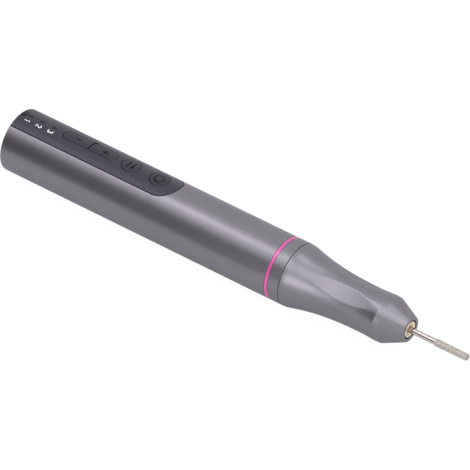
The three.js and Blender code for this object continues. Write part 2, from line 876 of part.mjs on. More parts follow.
const housingTube = turned(
  [
    [housingRear, 0],
    [housingRear, insideRadius],
    [barrelFront, insideRadius],
    [barrelFront, bossRadius],
    [bossEnd, bossRadius],
    [bossEnd, housingRadius],
    [clipRear - fitGap, housingRadius],
    [clipRear - fitGap, housingRadius - clipDepth],
    [clipFront + fitGap, housingRadius - clipDepth],
    [clipFront + fitGap, housingRadius],
    [housingFront, housingRadius],
    [housingFront, 0],
  ],
  shellSides,
);
const housingHollow = turned([
  [housingRear - overrun, 0],
  [housingRear - overrun, chamberRadius],
  [shoulderRear, chamberRadius],
  [shoulderRear, shoulderHole],
  [barrelFront, shoulderHole],
  [barrelFront, housingBore],
  [housingFront + overrun, housingBore],
  [housingFront + overrun, 0],
]);
const screwHoles = screwSides.map((side) =>
  screwHole(housingRear - overrun, shoulderRear + overrun, motorScrewRadius + fitGap, side),
);
const screwPockets = screwSides.map((side) =>
  screwHole(housingRear + flangeThickness, barrelFront + overrun, motorScrewHeadRadius + fitGap, side),
);
const lugSlots = lugSides.map((side) => lugBlock(side, gap, releaseTravel, housingRadius + overrun));
add(
  "spindle_housing",
  cut(housingTube, housingHollow, ...screwHoles, ...screwPockets, ...lugSlots),
  "aluminium",
);

screwSides.forEach((side, i) => {
  const headRear = housingRear + flangeThickness + seam;
  const headFront = headRear + motorScrewHeadHeight;
  const head = screwHole(headRear, headFront, motorScrewHeadRadius, side);
  const shaft = screwHole(motorFront - canFrontWall, headRear, motorScrewRadius, side);
  add("motor_screw_" + (i + 1), join(head, shaft), "steel");
});

const retainerRear = bearingEnd + fitGap;
const retainerBore = spindleRadius + gap;
const retainerSolid = join(
  tube(retainerRear, housingFront + fitGap, retainerBore, bearingRadius),
  tube(housingFront + seam, housingFront + seam + retainerFlange, retainerBore, housingRadius),
);
add("bearing_retainer", retainerSolid, "aluminium");

// Spindle: a hollow shaft with shoulders for the bearings, slots for the cross pin and the taper seat
const shoulderStep = 0.5;
const shoulderWidth = 1;
const taperLength = 4;
const taperRise = 0.57;
const throatLength = 1.5;
const throatRadius = colletBore + fitGap;
const springWire = 0.28;
const springTurns = 6;
const springLength = 8.4;
const drawbarRodRadius = shankRadius;
const shoulderFromPin = 5;
const drawbarShoulder = pinAt + shoulderFromPin;
const springRear = drawbarShoulder + gap;
const springFront = springRear + springLength;
const throatRear = springFront + gap;
const throatFront = throatRear + throatLength;
const colletRear = throatFront + gap;
const colletHeadLength = 1.8;
const colletHeadRear = colletFront - colletHeadLength;
const spindleFront = colletHeadRear - gap;
const taperRear = spindleFront - taperLength;
const rearShoulder = rearBearingAt + bearingWidth + fitGap;
const frontShoulder = frontBearingAt - fitGap - shoulderWidth;
const shoulderRadius = spindleRadius + shoulderStep;

const spindleOuter = turned([
  [spindleRear, 0],
  [spindleRear, spindleRadius],
  [rearShoulder, spindleRadius],
  [rearShoulder, shoulderRadius],
  [rearShoulder + shoulderWidth, shoulderRadius],
  [rearShoulder + shoulderWidth, spindleRadius],
  [frontShoulder, spindleRadius],
  [frontShoulder, shoulderRadius],
  [frontShoulder + shoulderWidth, shoulderRadius],
  [frontShoulder + shoulderWidth, spindleRadius],
  [spindleFront, spindleRadius],
  [spindleFront, 0],
]);
const spindleHollow = turned([
  [spindleRear - overrun, 0],
  [spindleRear - overrun, spindleBore],
  [throatRear, spindleBore],
  [throatRear, throatRadius],
  [throatFront, throatRadius],
  [throatFront, spindleBore],
  [taperRear, spindleBore],
  [spindleFront, spindleBore + taperRise],
  [spindleFront + overrun, spindleBore + taperRise],
  [spindleFront + overrun, 0],
]);
const pinSlotHalf = pinRadius + gap;
const pinSlot = block(
  pinAt - pinSlotHalf,
  pinAt + colletTravel + pinSlotHalf,
  -pinSlotHalf,
  pinSlotHalf,
  -shoulderRadius,
  shoulderRadius,
);
add("spindle", cut(spindleOuter, spindleHollow, pinSlot), "steel");

// Drawbar, cross pin and closing spring
const drawbarFromNoseEnd = 3;
const drawbarRear = noseStart + drawbarFromNoseEnd;
const drawbarFront = shankRear - gap;
const pinHalfLength = sleeveRadius - gap;
const drawbarBlank = turned([
  [drawbarRear, 0],
  [drawbarRear, colletRadius],
  [drawbarShoulder, colletRadius],
  [drawbarShoulder, drawbarRodRadius],
  [drawbarFront, drawbarRodRadius],
  [drawbarFront, 0],
]);
const drawbarHole = post(pinAt, 0, -colletRadius - overrun, colletRadius + overrun, pinRadius + fitGap);
add("drawbar", cut(drawbarBlank, drawbarHole), "steel");
add("cross_pin", post(pinAt, 0, -pinHalfLength, pinHalfLength, pinRadius, smallSides / 2), "steel");

class Helix extends THREE.Curve {
  constructor(radius, start, length, turns) {
    super();
    Object.assign(this, { radius, start, length, turns });
  }
  getPoint(t, target = new THREE.Vector3()) {
    const angle = 2 * Math.PI * this.turns * t;
    return target.set(
      this.start + this.length * t,
      this.radius * Math.sin(angle),
      this.radius * Math.cos(angle),
    );
  }
}

const springSides = 5;
const springStepsPerTurn = 10;
const springRadius = (drawbarRodRadius + spindleBore) / 2;
const springPath = new Helix(springRadius, springRear + springWire, springLength - 2 * springWire, springTurns);
const springGeometry = new THREE.ExtrudeGeometry(wireSection(springWire, springSides), {
  steps: springTurns * springStepsPerTurn,
  extrudePath: springPath,
});
add("collet_spring", solid(springGeometry), "steel");

// Collet: a tube that is slotted at the front into three jaws
const colletSlots = 3;
const colletSlotWidth = 0.4;
const slotPastDrawbar = 3;
const colletSlotRear = drawbarFront + slotPastDrawbar;
const countersinkDepth = 1.1;
const countersinkRadius = 2.1;
const taperSeatGap = 0.1;
let collet = turned([
  [colletRear, colletBore],
  [colletRear, colletRadius],
  [taperRear, colletRadius],
  [colletHeadRear, colletRadius + taperRise - taperSeatGap],
  [colletHeadRear, spindleRadius],
  [colletFront, spindleRadius],
  [colletFront, countersinkRadius],
  [colletFront - countersinkDepth, colletBore],
  [colletRear, colletBore],
]);
for (let i = 0; i < colletSlots; i += 1) {
  const slot = block(
    colletSlotRear,
    colletFront + overrun,
    -colletSlotWidth / 2,
    colletSlotWidth / 2,
    0,
    spindleRadius + overrun,
  );
  collet = cut(collet, turnAboutAxis(slot, (360 * i) / colletSlots));
}
add("collet", collet, "brass");

// Bit: the shank with a thin tang inside the grit-coated head
const tangRadius = 0.7;
const tangShare = 0.6;
const burrRadius = shankRadius + burrProud;
const tangEnd = burrStart + tangShare * burrLength;
const shankEdge = 0.2;
const burrEdge = 0.25;
add(
  "bit_shank",
  turned([
    [shankRear, 0],
    [shankRear, shankRadius - shankEdge],
    [shankRear + shankEdge, shankRadius],
    [burrStart, shankRadius],
    [burrStart, tangRadius],
    [tangEnd, tangRadius],
    [tangEnd, 0],
  ]),
  "steel",
);
add(
  "grinding_burr",
  turned([
    [burrStart + seam, tangRadius + fitGap],
    [burrStart + seam, burrRadius - burrEdge],
    [burrStart + seam + burrEdge, burrRadius],
    [penLength - burrEdge, burrRadius - burrTaper],
    [penLength, burrRadius - burrTaper - burrEdge],
    [penLength, 0],
    [tangEnd + fitGap, 0],
    [tangEnd + fitGap, tangRadius + fitGap],
    [burrStart + seam, tangRadius + fitGap],
  ]),
  "grit",
);

// Accent ring and collar on the housing's boss
const collarBore = bossRadius + gap;
add("accent_ring", tube(ringStart, ringEnd, collarBore, barrelRadius, shellSides), "accent");
add("front_collar", tube(collarStart, collarEnd, collarBore, barrelRadius, shellSides), "anodised");

// O-ring and retaining clip under the nose
const oRingSection = 0.45;
const oRingFromNoseEnd = 1.1;
const oRingMiddle = noseStart + oRingFromNoseEnd;
const oRingRadius = housingRadius + fitGap + oRingSection;
const oRingSteps = 6;
const oRingOutline = [];
for (let i = 0; i <= oRingSteps; i += 1) {
  const angle = (2 * Math.PI * i) / oRingSteps;
  oRingOutline.push([
    oRingMiddle + oRingSection * Math.sin(angle),
    oRingRadius + oRingSection * Math.cos(angle),
  ]);
}
add("nose_o_ring", turned(oRingOutline), "rubber");

const clipOpening = 3;
const clipRing = tube(clipRear, clipFront, clipInner, clipOuter);
const clipMouth = block(clipRear, clipFront, -clipOpening, clipOpening, 0, clipOuter + overrun);
add("nose_retaining_clip", cut(clipRing, clipMouth), "steel");

// Nose: a waisted grip, drawn as a curve through shares of its length and of its step down to the waist
const gripOutlineShares = [
  [0, 1], [0.04, 0.95], [0.08, 0.845], [0.145, 0.665], [0.21, 0.51], [0.285, 0.37], [0.37, 0.255],
  [0.5, 0.12], [0.62, 0.042], [0.75, 0.004], [0.84, 0], [0.94, 0.045], [1, 0.09],
];
const gripSteps = 17;
const bandDrop = 0.15;
const mouthGap = 0.4;
const mouthRim = 1.275;
const mouthRadius = spindleRadius + mouthGap;
const tipRadius = mouthRadius + mouthRim;
const tipEdge = 0.25;
const mouthLength = 3.8;
const boreFront = housingFront + seam + retainerFlange + gap;
const gripStep = barrelRadius - waistRadius;
const gripCurve = new THREE.SplineCurve(
  gripOutlineShares.map(([along, share]) =>
    new THREE.Vector2(noseStart + along * gripLength, waistRadius + share * gripStep),
  ),
);
const gripPoints = gripCurve.getPoints(gripSteps).map((p) => [p.x, p.y]);
const creaseRadius = gripPoints[gripSteps][1];
const oRingPocket = oRingRadius + oRingSection + fitGap;
const clipPocket = clipOuter + gap;

const noseOuter = turned(
  [
    [noseStart, 0],
    ...gripPoints,
    [bandEnd, creaseRadius - bandDrop],
    [noseFront - tipEdge, tipRadius],
    [noseFront, tipRadius - tipEdge],
    [noseFront, 0],
  ],
  shellSides,
);
const noseHollow = turned([
  [noseStart - overrun, 0],
  [noseStart - overrun, oRingPocket],
  [oRingMiddle + oRingSection + gap, oRingPocket],
  [oRingMiddle + oRingSection + gap, noseBore],
  [clipRear - gap, noseBore],
  [clipRear - gap, clipPocket],
  [clipFront + gap, clipPocket],
  [clipFront + gap, noseBore],
  [boreFront, noseBore],
  [noseFront - mouthLength, mouthRadius],
  [noseFront + overrun, mouthRadius],
  [noseFront + overrun, 0],
]);

// Finger recesses: flat across and hollow along, each cut by a large round cutter that lies crosswise
const recessCount = 6;
const recessDegrees = 42;
const recessMiddleShare = 0.7;
const recessCutterRadius = 68;
const recessArcSteps = 10;
const recessReach = 17;
const recessMiddle = noseStart + recessMiddleShare * gripLength;

function recessCutter() {
  const centre = recessFloorRadius + recessCutterRadius;
  const spread = Math.asin(recessReach / recessCutterRadius);
  const points = [];
  for (let i = 0; i <= recessArcSteps; i += 1) {
    const angle = -spread + (2 * spread * i) / recessArcSteps;
    points.push(
      new THREE.Vector2(
        recessMiddle + recessCutterRadius * Math.sin(angle),
        centre - recessCutterRadius * Math.cos(angle),
      ),
    );
  }
  points.push(new THREE.Vector2(recessMiddle + recessReach, aboveBarrel));
  points.push(new THREE.Vector2(recessMiddle - recessReach, aboveBarrel));
  const across = 2 * barrelRadius;
  const prism = new THREE.ExtrudeGeometry(new THREE.Shape(points), { depth: across, bevelEnabled: false });
  return solid(prism.rotateX(Math.PI / 2).translate(0, across / 2, 0));
}

// Cam grooves: where the sleeve's lugs run as the nose turns and drives them forward
const camSteps = 7;

function camGroove(side) {
  let groove = null;
  for (let i = 0; i <= camSteps; i += 1) {
    const turn = (twistDegrees * i) / camSteps;
    const lug = lugBlock(side, gap, 0, lugReach + gap).translate([(releaseTravel * i) / camSteps, 0, 0]);
    const placed = turnAboutAxis(lug, -turn);
    groove = groove ? join(groove, placed) : placed;
  }
  return groove;
}

let nose = cut(noseOuter, noseHollow);
const cutter = recessCutter();
for (let i = 0; i < recessCount; i += 1) {
  nose = cut(nose, turnAboutAxis(cutter, (360 * i) / recessCount + recessDegrees));
}
add("nose_grip", cut(nose, ...lugSides.map(camGroove)), "anodised");

export default root;
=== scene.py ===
# %% [markdown]
# # A cordless engraving pen
# The pen is a satin grey aluminium tube with a dark key panel let into it, a thin magenta ring, a
# waisted grip nose with six finger recesses, a small brass collet and a bit with a coat of grit.
# The construction comes from a CAD model, which is loaded first and never moved.
# Everything that shows is then made again here as a finer mesh with its real finish.

# %% Load the fixed frame
import math

import bmesh
import bpy
import numpy as np
from mathutils import Matrix, Vector
from mathutils.geometry import delaunay_2d_cdt


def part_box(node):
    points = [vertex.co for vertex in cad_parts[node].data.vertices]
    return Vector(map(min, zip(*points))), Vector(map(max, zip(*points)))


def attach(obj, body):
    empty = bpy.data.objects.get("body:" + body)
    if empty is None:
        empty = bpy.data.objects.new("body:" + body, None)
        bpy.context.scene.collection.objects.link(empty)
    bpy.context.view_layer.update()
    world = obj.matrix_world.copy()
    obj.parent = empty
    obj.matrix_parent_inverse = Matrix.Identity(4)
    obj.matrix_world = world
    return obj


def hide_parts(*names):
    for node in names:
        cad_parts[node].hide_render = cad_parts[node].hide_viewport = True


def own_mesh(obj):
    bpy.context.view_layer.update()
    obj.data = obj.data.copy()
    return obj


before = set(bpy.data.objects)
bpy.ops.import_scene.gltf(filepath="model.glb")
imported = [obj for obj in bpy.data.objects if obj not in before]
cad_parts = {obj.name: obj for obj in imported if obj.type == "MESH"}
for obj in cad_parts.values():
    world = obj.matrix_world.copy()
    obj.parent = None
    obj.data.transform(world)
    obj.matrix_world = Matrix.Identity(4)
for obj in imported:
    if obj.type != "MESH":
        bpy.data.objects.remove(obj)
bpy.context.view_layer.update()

# %% [markdown]
# ## Where things are
# A pen is easiest to describe along its own axis. So a place is given as millimetres from the rear end,
# an angle about the axis (zero at the top, growing towards +Y) and a radius in millimetres. Some places
# are given as millimetres to the side and above the axis instead. Three small functions turn them into
# Blender's metres. Most pieces start and end where their CAD nodes do, and those places are read from the
# nodes, so that both models agree.

# %% The pen's own coordinates
MM = 0.001
FULL_TURN = 2 * math.pi
front_collar_low, front_collar_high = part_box("front_collar")
rear_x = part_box("barrel")[0].x
axis_height = (front_collar_low.z + front_collar_high.z) / 2
shell_radius = (front_collar_high.z - front_collar_low.z) / 2 / MM


def along_pen(x):
    """What x mm from the rear end is on Blender's X, in metres."""
    return rear_x + x * MM


def on_pen(x, angle, radius):
    """The point x mm from the rear end, at an angle and a radius (mm) about the axis, in metres."""
    return Vector(
        (along_pen(x), radius * MM * math.sin(angle), axis_height + radius * MM * math.cos(angle))
    )


def from_axis(x, y, z):
    """The point x mm from the rear end, y mm to the side and z mm above the axis, in metres."""
    return Vector((along_pen(x), y * MM, axis_height + z * MM))


def span(node):
    """Where a CAD node starts and ends along the pen, in millimetres."""
    low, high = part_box(node)
    return (low.x - rear_x) / MM, (high.x - rear_x) / MM


def middle(node):
    start, end = span(node)
    return (start + end) / 2


def height(z):
    """A height in metres as millimetres above the pen's axis."""
    return (z - axis_height) / MM


print("pen:", round(span("grinding_burr")[1], 2), "mm long, shell radius", round(shell_radius, 3), "mm")

# %% [markdown]
# ## Wiring nodes from Python
# Materials and Geometry Nodes are both trees of nodes. Three small helpers keep the wiring readable:
# one adds a node with its settings, one feeds a socket with either a link or a plain value, and
# one adds a Math node. They work in both kinds of tree. Two more give a material without any node yet,
# and put a new object in the scene.

# %% Helpers for node trees
def feed(tree, socket, value):
    """Links a socket to another socket, or sets it to a plain value."""
    if isinstance(value, bpy.types.NodeSocket):
        tree.links.new(value, socket)
    else:
        socket.default_value = value


def add_node(tree, kind, inputs=None, **settings):
    node = tree.nodes.new(kind)
    for key, value in settings.items():
        setattr(node, key, value)
    for key, value in (inputs or {}).items():
        feed(tree, node.inputs[key], value)
    return node


def math_node(tree, operation, *values):
    node = add_node(tree, "ShaderNodeMath", operation=operation)
    for socket, value in zip(node.inputs, values):
        feed(tree, socket, value)
    return node.outputs[0]


def blank_material(name):
    """A new material, and its tree without any node."""
    material = bpy.data.materials.new(name)
    material.use_nodes = True
    material.node_tree.nodes.clear()
    return material, material.node_tree


def in_scene(name, data):
    """A new object in the scene, made of the data."""
    made = bpy.data.objects.new(name, data)
    bpy.context.scene.collection.objects.link(made)
    return made


print("helpers ready: feed, add_node, math_node, blank_material, in_scene")

# %% [markdown]
# ## Camera
# The photograph was taken from far away with a long lens: the pen's two ends are nearly the same size.
# The camera stands in front of the pen, to the right of its middle and above it, and is tilted a little,
# so that the pen runs down the picture from the upper left. It aims past the pen, because the pen's
# middle isn't in the picture's middle.

# %% Place the camera
FRAME_PIXELS = 470
LENS_PIXELS = 5979.7
SENSOR_MM = 36
camera_azimuth = math.radians(32.645)
camera_elevation = math.radians(35.243)
camera_roll = math.radians(5.72)
camera_distance = 2.2012
aim_at = 85.0
aim_pixel = (203.10, 228.61)

target = on_pen(aim_at, 0, 0)
towards_camera = Vector(
    (
        math.sin(camera_azimuth) * math.cos(camera_elevation),
        -math.cos(camera_azimuth) * math.cos(camera_elevation),
        math.sin(camera_elevation),
    )
)
level_right = Vector((0, 0, 1)).cross(towards_camera).normalized()
straight_up = towards_camera.cross(level_right)
right = level_right * math.cos(camera_roll) + straight_up * math.sin(camera_roll)
up = towards_camera.cross(right)
turn_right = math.atan((FRAME_PIXELS / 2 - aim_pixel[0]) / LENS_PIXELS)
turn_down = math.atan((FRAME_PIXELS / 2 - aim_pixel[1]) / LENS_PIXELS)
aimed = Matrix((right, up, towards_camera)).transposed()
aimed = aimed @ Matrix.Rotation(-turn_right, 3, "Y") @ Matrix.Rotation(-turn_down, 3, "X")

camera_data = bpy.data.cameras.new("studio_camera")
camera_data.sensor_width = SENSOR_MM
camera_data.lens = LENS_PIXELS / FRAME_PIXELS * SENSOR_MM
camera_data.clip_end = 50
camera = in_scene("studio_camera", camera_data)
camera.matrix_world = Matrix.Translation(target + towards_camera * camera_distance) @ aimed.to_4x4()
bpy.context.scene.camera = camera
bpy.context.scene.view_settings.view_transform = "Standard"
print("camera at", [round(x, 3) for x in camera.location], "lens", round(camera_data.lens), "mm")

# %% [markdown]
# ## White ground and soft light
# The pen lies on white. What the camera sees of the ground and of the world is white by itself, through
# Light Path, so no extra light falls on the pen. A small share of the ground's brightness is really lit, so
# the pen keeps a faint soft shadow. The metal mirrors a ground that is lit more, and so is darker where
# the pen shades it, which is what makes the pen's underside sink.

# %% World and floor
GROUND_LIT_SHARE = 0.06
MIRRORED_LIT_SHARE = 0.8
BOUNCED_SHARE = 0.8
GROUND_WHITE = 1.03
ROOM_LIGHT = 0.55
FLOOR_HALF = 12


def seen_directly(tree):
    """1 for what the camera, a reflection or clear plastic looks at, 0 for light that falls on things."""
    path = add_node(tree, "ShaderNodeLightPath")
    seen = math_node(tree, "MAXIMUM", path.outputs["Is Camera Ray"], path.outputs["Is Glossy Ray"])
    return math_node(tree, "MAXIMUM", seen, path.outputs["Is Transmission Ray"])


world = bpy.data.worlds.new("white_studio")
bpy.context.scene.world = world
world.use_nodes = True
sky = world.node_tree
sky.nodes.clear()
room = add_node(sky, "ShaderNodeBackground", {"Color": (1, 1, 1, 1)})
room_strength = add_node(sky, "ShaderNodeMapRange", {"To Min": ROOM_LIGHT, "To Max": 1.0})
feed(sky, room_strength.inputs["Value"], seen_directly(sky))
feed(sky, room.inputs["Strength"], room_strength.outputs["Result"])
add_node(sky, "ShaderNodeOutputWorld", {"Surface": room.outputs[0]})


def ground_material():
    material, tree = blank_material("white_ground")
    white = []
    for share in (MIRRORED_LIT_SHARE, GROUND_LIT_SHARE):
        lit = add_node(tree, "ShaderNodeBsdfDiffuse", {"Color": (share, share, share, 1)})
        glow = add_node(tree, "ShaderNodeEmission", {"Strength": GROUND_WHITE - share})
        white.append(add_node(tree, "ShaderNodeAddShader", {0: lit.outputs[0], 1: glow.outputs[0]}))
    bounced = (BOUNCED_SHARE, BOUNCED_SHARE, BOUNCED_SHARE, 1)
    plain = add_node(tree, "ShaderNodeBsdfDiffuse", {"Color": bounced})
    path = add_node(tree, "ShaderNodeLightPath")
    looked_at = add_node(
        tree,
        "ShaderNodeMixShader",
        {0: path.outputs["Is Camera Ray"], 1: white[0].outputs[0], 2: white[1].outputs[0]},
    )
    mix = add_node(
        tree, "ShaderNodeMixShader", {0: seen_directly(tree), 1: plain.outputs[0], 2: looked_at.outputs[0]}
    )
    add_node(tree, "ShaderNodeOutputMaterial", {"Surface": mix.outputs[0]})
    return material


floor_mesh = bpy.data.meshes.new("ground")
corners = [(-1, -1), (1, -1), (1, 1), (-1, 1)]
floor_mesh.from_pydata([(x * FLOOR_HALF, y * FLOOR_HALF, 0) for x, y in corners], [], [(0, 1, 2, 3)])
floor_mesh.materials.append(ground_material())
ground = in_scene("ground", floor_mesh)
print("ground and world ready")

# %% [markdown]
# Satin metal is drawn by what it mirrors. On a round tube each strip of the surface mirrors one strip of
# the studio. A softbox above gives the barrel's bright band. Four more, above and in front, stand further
# towards the pen's tip and light the slopes of the nose.

# %% Softboxes
LIGHT_DISTANCE = 1.2


def studio_direction(around, along):
    """A unit direction: degrees from straight up towards the front, and its share along the pen."""
    across = math.sqrt(1 - along * along)
    angle = math.radians(around)
    return Vector((along, -across * math.sin(angle), across * math.cos(angle)))


def softbox(name, around, along, width, depth, radiance):
    """An area light that faces the pen. Its power is what gives its face that radiance."""
    data = bpy.data.lights.new(name, "AREA")
    data.shape = "RECTANGLE"
    data.size, data.size_y = width, depth
    data.energy = radiance * math.pi * width * depth
    light = in_scene(name, data)
    direction = studio_direction(around, along)
    light.location = target + direction * LIGHT_DISTANCE
    across = direction.cross(Vector((1, 0, 0))).normalized()
    side = across.cross(direction)
    light.rotation_euler = Matrix((side, across, direction)).transposed().to_euler()
    light.visible_camera = False
    print("softbox", name, "power", round(data.energy, 2), "W")


softbox("barrel_softbox", around=15, along=-0.485, width=0.34, depth=0.34, radiance=3.75)
softbox("waist_softbox", around=33, along=-0.14, width=0.42, depth=0.7, radiance=2.15)
softbox("upper_softbox", around=-8, along=0.16, width=0.66, depth=0.34, radiance=2.3)
softbox("tip_softbox", around=26, along=0.42, width=0.4, depth=0.8, radiance=2.2)
softbox("front_softbox", around=78, along=-0.01, width=0.42, depth=0.56, radiance=3.5)

# %% [markdown]
# Next to its bright band the barrel has a dark one, in which it mirrors the dark room to the left of the
# camera. A black wall would also shade the pen and the ground. So the room is a curved card, and a cloth on
# the ground, that only reflections see.

# %% Dark card and cloth
CARD_STEPS = 12
CLOTH_HEIGHT = 0.0005


def reflected_only(name, points, faces, tone):
    """A dark sheet that neither the camera nor any light sees, only reflections."""
    mesh = bpy.data.meshes.new(name)
    mesh.from_pydata(points, [], faces)
    material, tree = blank_material(name)
    glow = add_node(tree, "ShaderNodeEmission", {"Color": (tone, tone, tone, 1)})
    add_node(tree, "ShaderNodeOutputMaterial", {"Surface": glow.outputs[0]})
    mesh.materials.append(material)
    sheet = in_scene(name, mesh)
    sheet.visible_camera = False
    sheet.visible_diffuse = False
    sheet.visible_shadow = False


def dark_card(around_from, around_to, along_from, along_to, tone):
    """A curved card on the camera's side of the studio."""
    points = []
    for i in range(CARD_STEPS + 1):
        around = around_from + (around_to - around_from) * i / CARD_STEPS
        for along in (along_from, along_to):
            points.append(target + studio_direction(around, along) * LIGHT_DISTANCE)
    faces = [(2 * i, 2 * i + 1, 2 * i + 3, 2 * i + 2) for i in range(CARD_STEPS)]
    reflected_only("dark_card", points, faces, tone)
    print("dark card spans", around_from, "to", around_to, "degrees from straight up")


def dark_cloth(near, far, slant, tone):
    """A cloth on the ground in front of the barrel, from near to far, cut off on a slant past the ring."""
    ring_x = on_pen(span("accent_ring")[1], 0, 0).x
    points = [(ring_x - slant * y, -y, CLOTH_HEIGHT) for y in (near, far)]
    points += [(-FLOOR_HALF, -y, CLOTH_HEIGHT) for y in (far, near)]
    reflected_only("dark_cloth", points, [(0, 1, 2, 3)], tone)
    print("dark cloth from", near, "to", far, "m in front of the pen")


dark_card(around_from=48, around_to=96, along_from=-0.95, along_to=-0.22, tone=0.0)
dark_cloth(near=0.070, far=1.1, slant=0.38, tone=0.06)

# %% [markdown]
# ## Finishes
# Each finish starts from the Principled shader. Its fixed numbers go on the shader's own sockets.
# What varies over the surface comes from noise on Object coordinates, which stay with a piece when it
# moves. The first helpers make the shader and the noise, and spread a noise value over a range.

# %% Start a finish
def new_finish(name, colour, roughness, metallic=0.0, **shader_settings):
    """A material with a Principled shader, and the tree and shader to build on."""
    material, tree = blank_material(name)
    shader = add_node(tree, "ShaderNodeBsdfPrincipled")
    shader.inputs["Base Color"].default_value = (*colour, 1)
    shader.inputs["Roughness"].default_value = roughness
    shader.inputs["Metallic"].default_value = metallic
    for key, value in shader_settings.items():
        shader.inputs[key.replace("_", " ").title().replace("Ior", "IOR")].default_value = value
    add_node(tree, "ShaderNodeOutputMaterial", {"Surface": shader.outputs[0]})
    return material, tree, shader


def surface_point(tree, stretch=(1, 1, 1)):
    """Object coordinates, stretched so that a pattern runs along or round the pen."""
    point = add_node(tree, "ShaderNodeTexCoord").outputs["Object"]
    if stretch == (1, 1, 1):
        return point
    return add_node(tree, "ShaderNodeMapping", {"Vector": point, "Scale": stretch}).outputs[0]


def noise(tree, point, size, detail=2.0, rough=0.5):
    """Noise whose blots are about size mm across."""
    inputs = {"Vector": point, "Scale": 1 / (size * MM), "Detail": detail, "Roughness": rough}
    return add_node(tree, "ShaderNodeTexNoise", inputs).outputs[0]


def spread(tree, value, low, high, start=0.3, end=0.7):
    """Maps a noise value from start..end to low..high."""
    inputs = {"Value": value, "From Min": start, "From Max": end, "To Min": low, "To Max": high}
    return add_node(tree, "ShaderNodeMapRange", inputs).outputs[0]


print("helpers ready: new_finish, surface_point, noise, spread")

# %% [markdown]
# The noise drives a slow change of tone, a fine grain in the roughness and a bump. Edges that hands and
# tools touch are a little paler, which Pointiness finds without any painting. The Mix node has sockets of
# the same name for each kind of value, so the ones for colours go by their number.

# %% Colour, wear and grain
MIX_FACTOR, MIX_FIRST, MIX_SECOND = 0, 6, 7
MIXED_COLOUR = 2


def blend_colours(tree, factor, first, second):
    mix = add_node(tree, "ShaderNodeMix", data_type="RGBA")
    for index, value in ((MIX_FACTOR, factor), (MIX_FIRST, first), (MIX_SECOND, second)):
        feed(tree, mix.inputs[index], (*value, 1) if isinstance(value, tuple) else value)
    return mix.outputs[MIXED_COLOUR]


def scaled(colour, share):
    return tuple(c * share for c in colour)


def tone(tree, shader, colour, factor, amount):
    """The colour drifts darker and lighter by an amount as the factor goes from 0 to 1."""
    mixed = blend_colours(tree, factor, scaled(colour, 1 - amount), scaled(colour, 1 + amount))
    feed(tree, shader.inputs["Base Color"], mixed)
    return mixed


def bump(tree, shader, height_value, depth, strength=1.0):
    """A bump whose full height is depth mm."""
    inputs = {"Height": height_value, "Distance": depth * MM, "Strength": strength}
    normal = add_node(tree, "ShaderNodeBump", inputs)
    feed(tree, shader.inputs["Normal"], normal.outputs[0])


def worn_edges(tree, shader, colour, worn, amount, start=0.52, end=0.6):
    """Edges that stand out take the worn colour, by an amount."""
    pointy = add_node(tree, "ShaderNodeNewGeometry").outputs["Pointiness"]
    edge = spread(tree, pointy, 0.0, amount, start, end)
    mixed = blend_colours(tree, edge, colour, worn)
    feed(tree, shader.inputs["Base Color"], mixed)


def vary_roughness(tree, shader, value, low, high, **noise_range):
    """The roughness follows a noise value, from low to high."""
    feed(tree, shader.inputs["Roughness"], spread(tree, value, low, high, **noise_range))


def make_finishes(rule, table):
    """Makes a finish by a rule for each row of a table: its name, and its settings."""
    for name, settings in table.items():
        finishes[name] = rule(name, **settings)


finishes = {}
print("finish helpers ready")

# %% [markdown]
# ### Metals
# The barrel, collar and nose are blasted, then anodised: an even satin grey with a hint of purple. The
# blasting leaves a very fine grain, which is what softens the bands of light. Turned and ground metal shows
# fine rings about the pen's axis, so its noise is fine along X and drawn out across it.

# %% Anodised and turned metal
ANODISED = (0.213, 0.2025, 0.229)
GRAZING_TINT = (0.9, 0.9, 0.9, 1)
MAGENTA = (0.75, 0.105, 0.412)
RINGS_ROUND_X = (1, 0.02, 0.02)


def anodised_finish():
    material, tree, shader = new_finish(
        "anodised_metal", ANODISED, roughness=0.36, metallic=1.0, specular_tint=GRAZING_TINT
    )
    point = surface_point(tree)
    drift = spread(tree, noise(tree, point, size=9.0), low=0.0, high=0.35)
    speckle = spread(tree, noise(tree, point, size=0.45, rough=0.7), low=0.0, high=0.65)
    grain = noise(tree, point, size=0.16, detail=3.0, rough=0.7)
    colour = tone(tree, shader, ANODISED, math_node(tree, "ADD", drift, speckle), amount=0.09)
    worn_edges(tree, shader, colour, worn=(0.42, 0.41, 0.43), amount=0.35)
    vary_roughness(tree, shader, grain, low=0.33, high=0.41)
    bump(tree, shader, grain, depth=0.004)
    return material


def ringed_metal(name, colour, roughness, ring_size, ring_depth, drift=0.08, **shader_settings):
    """Turned or ground metal: rings about the axis, a slow change of tone and small scratches."""
    material, tree, shader = new_finish(name, colour, roughness, metallic=1.0, **shader_settings)
    rings = noise(tree, surface_point(tree, RINGS_ROUND_X), ring_size, detail=3.0, rough=0.6)
    blots = noise(tree, surface_point(tree), size=1.6, detail=3.0)
    tone(tree, shader, colour, spread(tree, blots, 0.0, 1.0), drift)
    vary_roughness(tree, shader, rings, low=roughness * 0.75, high=roughness * 1.35)
    bump(tree, shader, rings, ring_depth)
    return material


def magenta_finish():
    material, tree, shader = new_finish(
        "accent_metal", MAGENTA, roughness=0.32, metallic=0.3, coat_weight=0.15
    )
    blots = noise(tree, surface_point(tree), size=3.0)
    tone(tree, shader, MAGENTA, spread(tree, blots, 0.0, 1.0), amount=0.06)
    rings = noise(tree, surface_point(tree, RINGS_ROUND_X), size=0.12)
    vary_roughness(tree, shader, rings, low=0.24, high=0.36)
    bump(tree, shader, rings, depth=0.003)
    return material


print("rules ready: anodised metal, turned metal and the magenta ring")

# %% [markdown]
# Sintered or plated metal has no rings, but a fine grain all over. The burr's coat is a mix of grey and
# brown grains, each with dull and bright facets. Finishes that follow one rule stand in a table, with a row
# for each.

